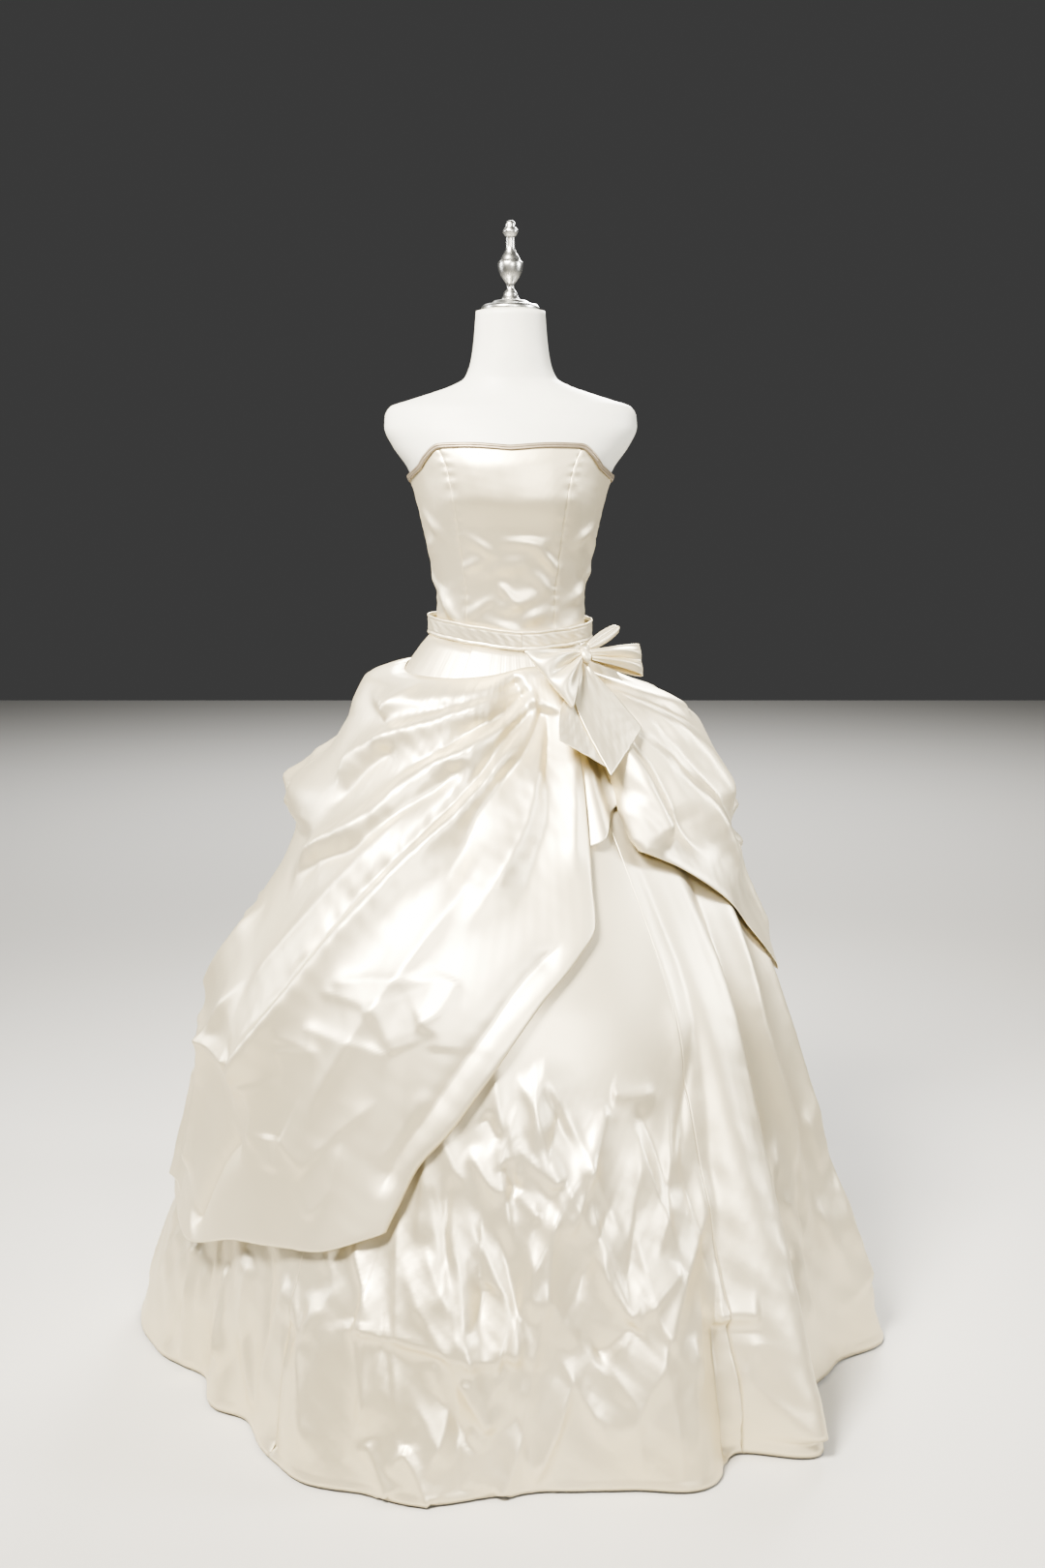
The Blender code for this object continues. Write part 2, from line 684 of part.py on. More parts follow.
def backPiece(name, start, end, hemRows, count):

    def surface(u, v):
        azimuth, z = backGrid(u, np.clip(v, 0, 1), start, end, hemRows)
        azimuth = azimuth - u * np.degrees(1.7 * seamGap / skirtRadius(azimuth, z))
        hem = z - smooth(azimuth, hemRows)
        top = smooth(azimuth, overTop) - z
        return overskirt(azimuth, z, np.minimum(hem + 0.004, top))

    u, v = grid(span(-1, 1, count), np.concatenate([(0.0, 0.02, 0.05, 0.10), np.linspace(0.17, 0.97, 12), (1.0,)]))
    shell(name, surface, u, v, champagne, step=(0.02, 0.008))


backPiece("overskirt_bustle_left", -180, -90, overHem, 13)
backPiece("overskirt_bustle_right", 90, 180, rightHem, 13)

# The cascade: the overskirt's facing, folded back on itself under the bow's tails.
cascadeHem = ((22, 0.806), (28, 0.818), (35, 0.849), (42, 0.864), (46, 0.860))


def cascade(u, v):
    azimuth = 22.5 + 22 * u
    low = smooth(azimuth, cascadeHem)
    z = 0.985 + (low - 0.985) * v
    pleat = 0.0035 * np.cos((azimuth - 30) / 9 * np.pi)
    return around(azimuth, skirtRadius(azimuth, z) + 0.0036 + (0.0085 + pleat) * ease(v * 1.6), z)


u, v = grid(span(0, 1, 10), span(0, 1, 6))
shell("overskirt_cascade", cascade, u, v, champagne, step=(0.03, 0.03))

# ---- the bow -------------------------------------------------------------------------------
def facing(name):
    turn, tilt = np.radians(bowFacing[name])
    right = np.array((np.cos(turn), np.sin(turn), 0.0))
    out = np.array((np.sin(turn) * np.cos(tilt), -np.cos(turn) * np.cos(tilt), np.sin(tilt)))
    return right, np.cross(out, right), out


def bowPoint(name, x, y, out):
    """A point right, up and out of the knot's middle in the frame that a piece faces in."""
    right, up, normal = facing(name)
    x, y, out = np.broadcast_arrays(x, y, out)
    middle = knotAt + knotHigh * facing("knot")[2]
    return middle + x[..., None] * right + y[..., None] * up + out[..., None] * normal


def loopSurface(name, kneck, outer, puff):
    """A loop of ribbon. kneck and outer are its two edges at the knot and at the far fold, each
    as a pair of (x, y) points, and u goes from the knot out and back, v across the ribbon."""
    kneck, outer = np.array(kneck), np.array(outer)

    def surface(u, v):
        s = 0.5 - 0.5 * np.cos(2 * np.pi * u)
        near = kneck[0] + (kneck[1] - kneck[0]) * v[..., None]
        far = outer[0] + (outer[1] - outer[0]) * v[..., None]
        flat = near + (far - near) * s[..., None]
        hollow = puff * np.sin(2 * np.pi * u) * np.sqrt(s + 0.02) * (0.55 + 0.45 * np.sin(np.pi * v))
        apart = 0.0022 * np.cos(np.pi * u)
        return bowPoint(name, flat[..., 0], flat[..., 1], hollow + apart + 0.009 * s)

    return surface


u, v = grid(span(0, 1, 18), span(0, 1, 4))
shell(
    "bow_loop_left",
    loopSurface("left", ((-0.0094, 0.008), (-0.0094, -0.010)), ((-0.104, 0.006), (-0.056, -0.092)), 0.013),
    u, v, champagne, step=(0.01, 0.05),
)
shell(
    "bow_loop_right",
    loopSurface("right", ((0.0094, 0.007), (0.0094, -0.009)), ((0.104, 0.008), (0.094, -0.042)), 0.014),
    u, v, champagne, step=(0.01, 0.05),
)


def knotPiece():
    built = bmesh.new()
    bmesh.ops.create_uvsphere(built, u_segments=12, v_segments=8, radius=1)
    for vert in built.verts:
        x, y, z = vert.co
        vert.co = bowPoint("knot", np.array(x * 0.0085), np.array(z * 0.0130), np.array(y * 0.0080))
    faceOut(built)
    mesh = bpy.data.meshes.new("bow_knot")
    built.to_mesh(mesh)
    built.free()
    place("bow_knot", mesh, champagne, 0.38)


knotPiece()


def tailSurface(rows, height):
    """A tail from (share of its length, left x, left y, right x, right y) rows, out of the
    knot's middle by height, which is below nought."""

    def surface(u, v):
        left = np.stack([smooth(u, rows, 1), smooth(u, rows, 2)], -1)
        right = np.stack([smooth(u, rows, 3), smooth(u, rows, 4)], -1)
        flat = left + (right - left) * v[..., None]
        return bowPoint("knot", flat[..., 0], flat[..., 1], height + 0 * u)

    return surface


# The tails, from under the knot to their slanted ends.
tailColumns = ("share", "leftX", "leftY", "rightX", "rightY")
frontTail = (
    (0.0, -0.007, 0.006, 0.007, 0.006),
    (0.12, -0.011, -0.016, 0.009, -0.016),
    (0.38, -0.045, -0.076, 0.030, -0.064),
    (1.0, -0.033, -0.200, 0.055, -0.125),
)
backTail = (
    (0.0, -0.008, 0.002, 0.005, 0.002),
    (0.15, -0.013, -0.020, 0.003, -0.022),
    (0.45, -0.073, -0.085, -0.012, -0.078),
    (1.0, -0.094, -0.133, -0.024, -0.190),
)
u, v = grid(span(0, 1, 9), span(0, 1, 3))
shell("bow_tail_front", tailSurface(frontTail, -0.0095), u, v, champagne, step=(0.02, 0.05))
shell("bow_tail_back", tailSurface(backTail, -0.0120), u, v, champagne, step=(0.02, 0.05))


def streamer(u, v):
    """A narrow folded ribbon standing up out of the knot."""
    along = 0.014 + 0.070 * u
    wide = 0.005 + 0.0045 * np.sin(np.pi * np.clip(u, 0, 1)) ** 0.7
    across = wide * (v - 0.5) * 2
    fold = 0.003 * (1 - (2 * v - 1) ** 2)
    return bowPoint("streamer", along * 0.90 - across * 0.42, 0.0074 + along * 0.40 + across * 0.90, fold - 0.004)


u, v = grid(span(0, 1, 7), span(0, 1, 4))
shell("bow_streamer", streamer, u, v, champagne, step=(0.03, 0.05))
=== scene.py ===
import bmesh
import bpy
import numpy as np
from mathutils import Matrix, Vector


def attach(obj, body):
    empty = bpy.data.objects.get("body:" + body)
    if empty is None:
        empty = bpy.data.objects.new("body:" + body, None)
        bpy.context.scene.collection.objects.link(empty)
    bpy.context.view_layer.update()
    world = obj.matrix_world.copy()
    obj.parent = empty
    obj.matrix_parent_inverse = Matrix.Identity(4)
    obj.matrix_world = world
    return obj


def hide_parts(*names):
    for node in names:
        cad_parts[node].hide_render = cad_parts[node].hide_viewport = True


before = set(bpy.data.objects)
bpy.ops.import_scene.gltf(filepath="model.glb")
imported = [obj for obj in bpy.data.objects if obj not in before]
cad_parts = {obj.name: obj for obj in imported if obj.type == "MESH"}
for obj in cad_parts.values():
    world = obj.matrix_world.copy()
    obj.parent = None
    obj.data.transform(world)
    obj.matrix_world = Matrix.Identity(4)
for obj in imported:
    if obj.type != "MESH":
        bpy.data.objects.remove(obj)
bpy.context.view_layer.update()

scene = bpy.context.scene
span = np.linspace


# A smooth curve through (x, value) rows that never overshoots them.
def smooth(x, rows, column=1):
    table = np.array(sorted(rows, key=lambda row: row[0]), float)
    xs, ys = table[:, 0], table[:, column]
    gap = np.diff(xs)
    slope = np.diff(ys) / gap
    tangent = np.zeros_like(ys)
    same = slope[:-1] * slope[1:] > 0
    tangent[1:-1][same] = (2 * slope[:-1] * slope[1:])[same] / (slope[:-1] + slope[1:])[same]
    tangent[0], tangent[-1] = slope[0], slope[-1]
    x = np.clip(x, xs[0], xs[-1])
    i = np.clip(np.searchsorted(xs, x) - 1, 0, len(xs) - 2)
    s = (x - xs[i]) / gap[i]
    return (
        (2 * s**3 - 3 * s**2 + 1) * ys[i]
        + (s**3 - 2 * s**2 + s) * gap[i] * tangent[i]
        + (3 * s**2 - 2 * s**3) * ys[i + 1]
        + (s**3 - s**2) * gap[i] * tangent[i + 1]
    )


def ease(x):
    x = np.clip(x, 0, 1)
    return x * x * (3 - 2 * x)


def hump(x, width):
    return np.exp(-((x / width) ** 2))


def around(azimuth, radius, z):
    a = np.radians(azimuth)
    return np.stack([radius * np.sin(a), -radius * np.cos(a), z + 0 * a], -1)


def turnBack(angle):
    return (angle + 180) % 360 - 180


# Slow, even-handed waviness for lines and surfaces that a hand never leaves straight.
def drift(x, y, seed):
    total = 0 * x
    for k in range(5):
        a, b, c = np.sin(seed * 12.9 + k * 4.1) * 3 + 4, np.cos(seed * 7.7 + k * 2.3) * 3 + 4, seed + k * 1.7
        total = total + np.sin(a * (k + 1) * 0.7 * x + b * (k + 1) * 0.7 * y * (-1) ** k + c) / (k + 1)
    return total / 2.3


# The shapes that the solids are cut to: the form, and the skirt that all its cloth lies on.
form = {
    "columns": ("z", "side", "front", "back"),
    "rows": (
        (0.815, 0.146, 0.098, 0.106), (0.870, 0.162, 0.106, 0.126), (0.930, 0.168, 0.108, 0.131),
        (0.990, 0.158, 0.102, 0.122), (1.045, 0.131, 0.090, 0.100), (1.100, 0.110, 0.080, 0.082),
        (1.155, 0.109, 0.084, 0.080), (1.205, 0.118, 0.094, 0.085), (1.255, 0.129, 0.108, 0.092),
        (1.305, 0.141, 0.120, 0.097), (1.345, 0.155, 0.118, 0.099), (1.380, 0.179, 0.106, 0.098),
        (1.408, 0.191, 0.094, 0.096), (1.424, 0.190, 0.085, 0.092), (1.438, 0.182, 0.077, 0.087),
        (1.448, 0.153, 0.069, 0.081), (1.458, 0.121, 0.063, 0.075), (1.468, 0.092, 0.059, 0.070),
        (1.480, 0.070, 0.056, 0.065), (1.505, 0.060, 0.054, 0.059), (1.540, 0.055, 0.051, 0.054),
        (1.578, 0.052, 0.049, 0.051),
    ),
}
skirt = {
    "columns": ("z", "side"),
    "rows": (
        (1.0980, 0.1165), (1.0920, 0.1205), (1.0860, 0.1270), (1.0680, 0.1420), (1.0300, 0.1680),
        (0.9500, 0.2150), (0.8600, 0.2680), (0.7500, 0.3250), (0.6500, 0.3720), (0.5800, 0.4030),
        (0.4600, 0.4430), (0.3400, 0.4800), (0.1800, 0.5270), (0.0600, 0.5600), (0.0000, 0.5750),
    ),
    "creased": 1.35,  # how much deeper the creases are than their rows say
    "waistDepth": 0.72,
    "roundBy": 0.50,
    "seam": ((-180, 1.108), (-90, 1.105), (-25, 1.090), (10, 1.084), (50, 1.088), (90, 1.097),
        (180, 1.108)),
    "hem": 0.004,
    # azimuth, how far out, width in degrees, how high it reaches
    "flutes": (
        (-168, 0.034, 9, 0.70), (-147, -0.030, 9, 0.60), (-128, 0.036, 10, 0.75), (-108, -0.026, 9, 0.60),
        (-92, 0.026, 8, 0.60), (-82, 0.014, 6, 0.30), (-61, -0.052, 8, 0.50), (-45, -0.040, 6, 0.40),
        (-26, 0.034, 7, 0.42), (-12, 0.034, 7, 0.36), (4, -0.010, 6, 0.30), (25, 0.042, 7, 0.50),
        (33, -0.026, 4, 0.60), (42, 0.064, 5, 0.78), (57, -0.044, 8, 0.82), (68, -0.030, 6, 0.60),
        (77, 0.026, 6, 0.85), (90, -0.022, 7, 0.60), (104, 0.038, 9, 0.80), (124, -0.030, 10, 0.70),
        (143, 0.034, 9, 0.75), (160, -0.026, 9, 0.60), (179, 0.018, 9, 0.60),
    ),
}


def torso(turn, z, out=0.0):
    side, front, back = (smooth(z, form["rows"], k) + out for k in (1, 2, 3))
    bust = 1 + 0.055 * np.exp(-(((np.abs(turnBack(turn)) - 34) / 20) ** 2) - ((z - 1.298) / 0.048) ** 2)
    s, c = np.sin(np.radians(turn)), np.cos(np.radians(turn))
    return np.stack([side * s, -np.where(c > 0, front * bust, back) * c, z + 0 * s], -1)


def seamHeight(azimuth):
    return smooth(azimuth, skirt["seam"])


def skirtRadius(azimuth, z):
    level = z + (1.098 - seamHeight(azimuth)) * ease((z - 0.7) / 0.35)
    side = smooth(level, skirt["rows"])
    deep = side * (skirt["waistDepth"] + (1 - skirt["waistDepth"]) * ease((1.098 - level) / skirt["roundBy"]))
    s, c = np.sin(np.radians(azimuth)), np.cos(np.radians(azimuth))
    return side * deep / np.sqrt((deep * s) ** 2 + (side * c) ** 2)


def flutes(azimuth, z):
    out = 0 * azimuth
    for centre, depth, width, reach in skirt["flutes"]:
        wide = width * (1 + 0.6 * z / reach)
        out = out + depth * hump(turnBack(azimuth - centre), wide) * np.clip(1 - z / reach, 0, 1) ** 1.2
    return out


# The signed distance to a line of (azimuth, z) points laid on the skirt, + to the left of its run,
# and how far along it the nearest point is.
def lineDistance(azimuth, z, line):
    points = np.array(line, float)
    if len(points) > 2:
        t = np.arange(len(points))
        fine = span(0, len(points) - 1, 4 * (len(points) - 1) + 1)
        points = np.stack([smooth(fine, np.stack([t, points[:, k]], -1)) for k in (0, 1)], -1)
    x, y = np.radians(azimuth) * smooth(z, skirt["rows"]), z
    px, py = np.radians(points[:, 0]) * smooth(points[:, 1], skirt["rows"]), points[:, 1]
    steps = np.hypot(np.diff(px), np.diff(py))
    best = np.full(np.shape(x), 9.0)
    side, along = np.ones_like(best), np.zeros_like(best)
    done = 0.0
    for k, step in enumerate(steps):
        dx, dy = (px[k + 1] - px[k]) / step, (py[k + 1] - py[k]) / step
        t = np.clip((x - px[k]) * dx + (y - py[k]) * dy, 0, step)
        ax, ay = x - px[k] - t * dx, y - py[k] - t * dy
        away = np.hypot(ax, ay)
        near = away < best
        best = np.where(near, away, best)
        side = np.where(near, np.where(dx * ay - dy * ax >= 0, 1.0, -1.0), side)
        along = np.where(near, (done + t) / steps.sum(), along)
        done += step
    return best * side, along


# Creases in millimetres: a line, how far it stands out (- for a trough), the reach of its left
# and right sides, how blunt its crest is, and the share of its length that it takes to fade in and out.
def creases(azimuth, z, rows, scale=1.0):
    out = 0 * azimuth
    for line, height, left, right, crest, fadeIn, fadeOut in rows:
        wobble = drift(azimuth / 9.0, z * 11.0, height + len(line))
        d, along = lineDistance(azimuth, z, line)
        d = d + 0.0006 * wobble
        wide = np.where(d > 0, left, right) * 0.001 * (0.5 + 0.5 * ease(along / max(fadeIn, 0.05)))
        blunt = crest * 0.001
        shape = np.exp(-(np.sqrt(d * d + blunt * blunt) - blunt) / wide)
        fade = ease(along / max(fadeIn,
            1e-3) + (0.3 if fadeIn < 0.02 else 0)) * ease((1 - along) / max(fadeOut, 1e-3))
        out = out + scale * height * 0.001 * shape * fade * (1 + 0.08 * wobble)
    return out


def finish(name, mesh, look, *nodes, slot="ivory_satin"):
    for polygon in mesh.polygons:
        polygon.use_smooth = True
    piece = bpy.data.objects.new(name, mesh)
    scene.collection.objects.link(piece)
    mesh.materials.append(look)
    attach(piece, "root")
    if nodes:
        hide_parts(*nodes)
    return piece


# A sheet of cloth from a grid: shape(u, v) places its points, both running from 0 to 1.
def cloth(
    name, shape, across, down, look, nodes, size, wall=0.0011, slot="ivory_satin"
):
    built = bmesh.new()
    bmesh.ops.create_grid(built, x_segments=across, y_segments=down, size=0.5, calc_uvs=True)
    mesh = bpy.data.meshes.new(name)
    built.to_mesh(mesh)
    built.free()
    flat = np.empty(len(mesh.vertices) * 3, np.float32)
    mesh.vertices.foreach_get("co", flat)
    flat = flat.reshape(-1, 3).astype(float)
    u, v = flat[:, 0] + 0.5, flat[:, 1] + 0.5
    points = shape(u, v)
    mesh.vertices.foreach_set("co", points.astype(np.float32).ravel())
    layer = mesh.uv_layers[0] if mesh.uv_layers else mesh.uv_layers.new(name="cut")
    layer.name = "cut"
    corner = np.empty(len(mesh.loops), np.int32)
    mesh.loops.foreach_get("vertex_index", corner)
    cut = np.stack([u[corner] * size[0], v[corner] * size[1]], -1)
    layer.data.foreach_set("uv", cut.astype(np.float32).ravel())
    mesh.update()
    # A face from the middle of the sheet tells whether the right side looks away from the axis.
    middle = mesh.polygons[len(mesh.polygons) // 2 + across // 2]
    a, b, c = (points[k] for k in middle.vertices[:3])
    if np.cross(b - a, c - b) @ (a * np.array((1, 1, 0))) < 0:
        mesh.flip_normals()
    piece = finish(name, mesh, look, *nodes, slot=slot)
    thick = piece.modifiers.new("wall", "SOLIDIFY")
    thick.thickness = wall
    thick.offset = 0
    # No pattern was drafted.
    return piece


def colour(text):
    parts = [int(text[k : k + 2], 16) / 255 for k in (1, 3, 5)]
    return (*(p / 12.92 if p <= 0.04045 else ((p + 0.055) / 1.055) ** 2.4 for p in parts), 1)


def add(tree, kind, settings=None, links=None):
    node = tree.nodes.new(kind)
    for key, value in (settings or {}).items():
        if key in node.inputs:
            node.inputs[key].default_value = value
        else:
            setattr(node, key, value)
    for key, source in (links or {}).items():
        tree.links.new(source, node.inputs[key])
    return node


def startMaterial(name):
    made = bpy.data.materials.new(name)
    made.use_nodes = True
    return made, made.node_tree, made.node_tree.nodes["Principled BSDF"]


satin = {"base": "#e4dabf", "deep": "#d3c8a9", "pale": "#eee7d3", "metallic": 0.65, "along": 0.45}


# Duchess satin, woven with long floats and calendered: a soft, broad sheen that runs along the folds.
# Satin is no metal: the metallic share is there for the strength of its sheen.
def makeSatin(name, base, deep, pale, rough, crush):
    made, tree, shader = startMaterial(name)
    uv = add(tree, "ShaderNodeTexCoord")
    place = add(tree, "ShaderNodeMapping", {"Scale": (1000, 1000, 1000)}, {"Vector": uv.outputs["UV"]})
    cloud = add(tree, "ShaderNodeTexNoise", {"Scale": 3.2, "Detail": 3.0, "Roughness": 0.5},
        {"Vector": uv.outputs["Object"]})
    ramp = add(tree, "ShaderNodeValToRGB", links={"Fac": cloud.outputs["Fac"]})
    ramp.color_ramp.elements[0].position, ramp.color_ramp.elements[0].color = 0.30, colour(deep)
    ramp.color_ramp.elements[1].position, ramp.color_ramp.elements[1].color = 0.72, colour(pale)
    tint = add(tree, "ShaderNodeMix", {"data_type": "RGBA", "Factor": 0.30})
    tint.inputs[6].default_value = colour(base)
    tree.links.new(ramp.outputs["Color"], tint.inputs[7])
    tree.links.new(tint.outputs[2], shader.inputs["Base Color"])
    # Floats of the weave, drawn far coarser than the real 0.1 mm so that they just show.
    weave = add(tree, "ShaderNodeTexWave",
        {"Scale": 0.35, "Distortion": 1.5, "Detail": 1.0, "bands_direction": "Y"},
            {"Vector": place.outputs["Vector"]})
    soft = add(tree, "ShaderNodeTexNoise", {"Scale": 26.0, "Detail": 4.0, "Roughness": 0.55},
        {"Vector": uv.outputs["Object"]})
    crumple = add(tree, "ShaderNodeTexVoronoi",
        {"Scale": 17.0, "feature": "SMOOTH_F1", "Smoothness": 0.6}, {"Vector": uv.outputs["Object"]})
    fine = add(tree, "ShaderNodeBump", {"Strength": 0.05, "Distance": 0.0003},
        {"Height": weave.outputs["Fac"]})
    waves = add(tree, "ShaderNodeBump", {"Strength": crush, "Distance": 0.004},
        {"Height": soft.outputs["Fac"], "Normal": fine.outputs["Normal"]})
    dents = add(tree, "ShaderNodeBump", {"Strength": crush * 0.6, "Distance": 0.004},
        {"Height": crumple.outputs["Distance"], "Normal": waves.outputs["Normal"]})
    tree.links.new(dents.outputs["Normal"], shader.inputs["Normal"])
    patch = add(tree, "ShaderNodeTexNoise", {"Scale": 9.0, "Detail": 2.0}, {"Vector": uv.outputs["Object"]})
    worn = add(tree, "ShaderNodeMapRange", {"To Min": rough - 0.03, "To Max": rough + 0.06},
        {"Value": patch.outputs["Fac"]})
    tree.links.new(worn.outputs["Result"], shader.inputs["Roughness"])
    shader.inputs["Specular IOR Level"].default_value = 0.8
    shader.inputs["Metallic"].default_value = satin["metallic"]
    shader.inputs["IOR"].default_value = 1.6
    shader.inputs["Sheen Weight"].default_value = 0.06
    shader.inputs["Sheen Roughness"].default_value = 0.4
    shader.inputs["Sheen Tint"].default_value = colour("#fff6e8")
    shader.inputs["Anisotropic"].default_value = satin["along"]
    grain = add(tree, "ShaderNodeTangent", {"direction_type": "UV_MAP", "uv_map": "cut"})
    tree.links.new(grain.outputs["Tangent"], shader.inputs["Tangent"])
    return made


ivorySatin = makeSatin("ivory duchess satin, calendered", satin["base"], satin["deep"], satin["pale"],
    0.44, 0.03)
crushedSatin = makeSatin("ivory duchess satin, creased below", satin["base"], satin["deep"],
    satin["pale"], 0.41, 0.08)
taupeSatin = makeSatin("taupe satin binding, bias cut", "#a59884", "#8f816d", "#b8ad9b", 0.40, 0.10)


# A form of glass fibre with a matt white skin: even, with a faint mottle.
def makeFormWhite():
    made, tree, shader = startMaterial("glass fibre form, matt white")
    uv = add(tree, "ShaderNodeTexCoord")
    mottle = add(tree, "ShaderNodeTexNoise", {"Scale": 60.0, "Detail": 4.0},
        {"Vector": uv.outputs["Object"]})
    tone = add(tree, "ShaderNodeMix", {"data_type": "RGBA"}, {"Factor": mottle.outputs["Fac"]})
    tone.inputs[6].default_value = colour("#dddcd2")
    tone.inputs[7].default_value = colour("#e4e3da")
    tree.links.new(tone.outputs[2], shader.inputs["Base Color"])
    skin = add(tree, "ShaderNodeBump", {"Strength": 0.06, "Distance": 0.0006},
        {"Height": mottle.outputs["Fac"]})
    tree.links.new(skin.outputs["Normal"], shader.inputs["Normal"])
    shader.inputs["Roughness"].default_value = 0.5
    return made


# Turned brass, nickel plated and buffed: clear reflections with a light haze.
def makeMetal(name, tone, rough):
    made, tree, shader = startMaterial(name)
    uv = add(tree, "ShaderNodeTexCoord")
    haze = add(tree, "ShaderNodeTexNoise", {"Scale": 140.0, "Detail": 3.0},
        {"Vector": uv.outputs["Object"]})
    worn = add(tree, "ShaderNodeMapRange", {"To Min": rough - 0.05, "To Max": rough + 0.08},
        {"Value": haze.outputs["Fac"]})
    tree.links.new(worn.outputs["Result"], shader.inputs["Roughness"])
    shader.inputs["Base Color"].default_value = colour(tone)
    shader.inputs["Metallic"].default_value = 1.0
    return made


formWhite = makeFormWhite()
nickel = makeMetal("turned finial, nickel plated", "#dededa", 0.32)
steelPole = makeMetal("steel tube, brushed", "#c2c2be", 0.30)
platePaint = makeMetal("cast plate, silver paint", "#b4b2ac", 0.42)

print("materials made")


# The dress form and its stand.
def formBody():
    built = bmesh.new()
    bmesh.ops.create_grid(built, x_segments=96, y_segments=110, size=0.5)
    mesh = bpy.data.meshes.new("dress_form_skin")
    flat = np.array([vert.co for vert in built.verts])
    u, v = flat[:, 0] + 0.5, flat[:, 1] + 0.5
    rows = np.array(form["rows"])
    level = np.arange(len(rows))
    z = smooth(v * (len(rows) - 1), np.stack([level, rows[:, 0]], -1))
    points = torso(u * 360 - 180, z)
    for vert, point in zip(built.verts, points):
        vert.co = point
    bmesh.ops.remove_doubles(built, verts=built.verts, dist=1e-5)
    bmesh.ops.holes_fill(built, edges=[edge for edge in built.edges if edge.is_boundary], sides=0)
    bmesh.ops.recalc_face_normals(built, faces=built.faces)
    built.to_mesh(mesh)
    built.free()
    return finish("dress_form_skin", mesh, formWhite, "dress_form", slot="form_white")


def turned(name, rows, look, node, slot, steps=96):
    built = bmesh.new()
    profile = [(rows[0][0], 0.0), *rows, (rows[-1][0], 0.0)]
    points = [built.verts.new((radius, 0, z)) for z, radius in profile]
    lines = [built.edges.new(pair) for pair in zip(points[:-1], points[1:])]
    bmesh.ops.spin(built, geom=points + lines, axis=(0, 0, 1), cent=(0, 0, 0), angle=2 * np.pi,
        steps=steps, use_merge=True)
    bmesh.ops.remove_doubles(built, verts=built.verts, dist=1e-6)
    bmesh.ops.recalc_face_normals(built, faces=built.faces)
    mesh = bpy.data.meshes.new(name)
    built.to_mesh(mesh)
    built.free()
    return finish(name, mesh, look, node, slot=slot)


finialShape = {
    "rows": (
        (1.5953, 0.0148), (1.6000, 0.0115), (1.6050, 0.0100), (1.6090, 0.0070), (1.6130, 0.0055),
            (1.6180, 0.0066),
        (1.6230, 0.0100), (1.6300, 0.0148), (1.6370, 0.0176), (1.6440, 0.0188), (1.6485, 0.0184),
            (1.6520, 0.0155),
        (1.6580, 0.0125), (1.6640, 0.0086), (1.6720, 0.0066), (1.6840, 0.0065), (1.6890, 0.0095),
            (1.6930, 0.0115),
        (1.6970, 0.0105), (1.7000, 0.0078), (1.7040, 0.0075), (1.7080, 0.0055), (1.7095, 0.0028),
    )
}


def fineRows(rows, each=4):
    rows = np.array(rows)
    level = np.arange(len(rows))
    t = span(0, len(rows) - 1, each * (len(rows) - 1) + 1)
    return [(float(smooth(k, np.stack([level, rows[:, 0]], -1))),
        float(smooth(k, np.stack([level, rows[:, 1]], -1)))) for k in t]


formBody()
turned("neck_cap_plate", ((1.5783, 0.0425), (1.5788, 0.0435), (1.5836, 0.0435), (1.5845, 0.0430),
    (1.5872, 0.0400), (1.5880, 0.0380), (1.5884, 0.0300), (1.5888, 0.0290), (1.5922, 0.0265),
        (1.5932, 0.0250), (1.5950, 0.0150)), nickel, "neck_cap", "silver_finial")
turned("finial_turning", fineRows(finialShape["rows"]), nickel, "finial", "silver_finial", steps=64)
turned("stand_pole_tube", ((0.0304, 0.0125), (0.8147, 0.0125)), steelPole, "stand_pole", "steel_pole",
    steps=48)
turned("stand_plate_disc", ((0.0, 0.188), (0.0006, 0.1893), (0.002, 0.190), (0.007, 0.190),
    (0.0083, 0.1893), (0.009, 0.187), (0.0105, 0.060), (0.0112, 0.040), (0.012, 0.030), (0.018, 0.0235),
        (0.028, 0.022), (0.0295, 0.0213), (0.030, 0.020)), platePaint, "stand_plate", "painted_steel",
            steps=128)
print("form made")


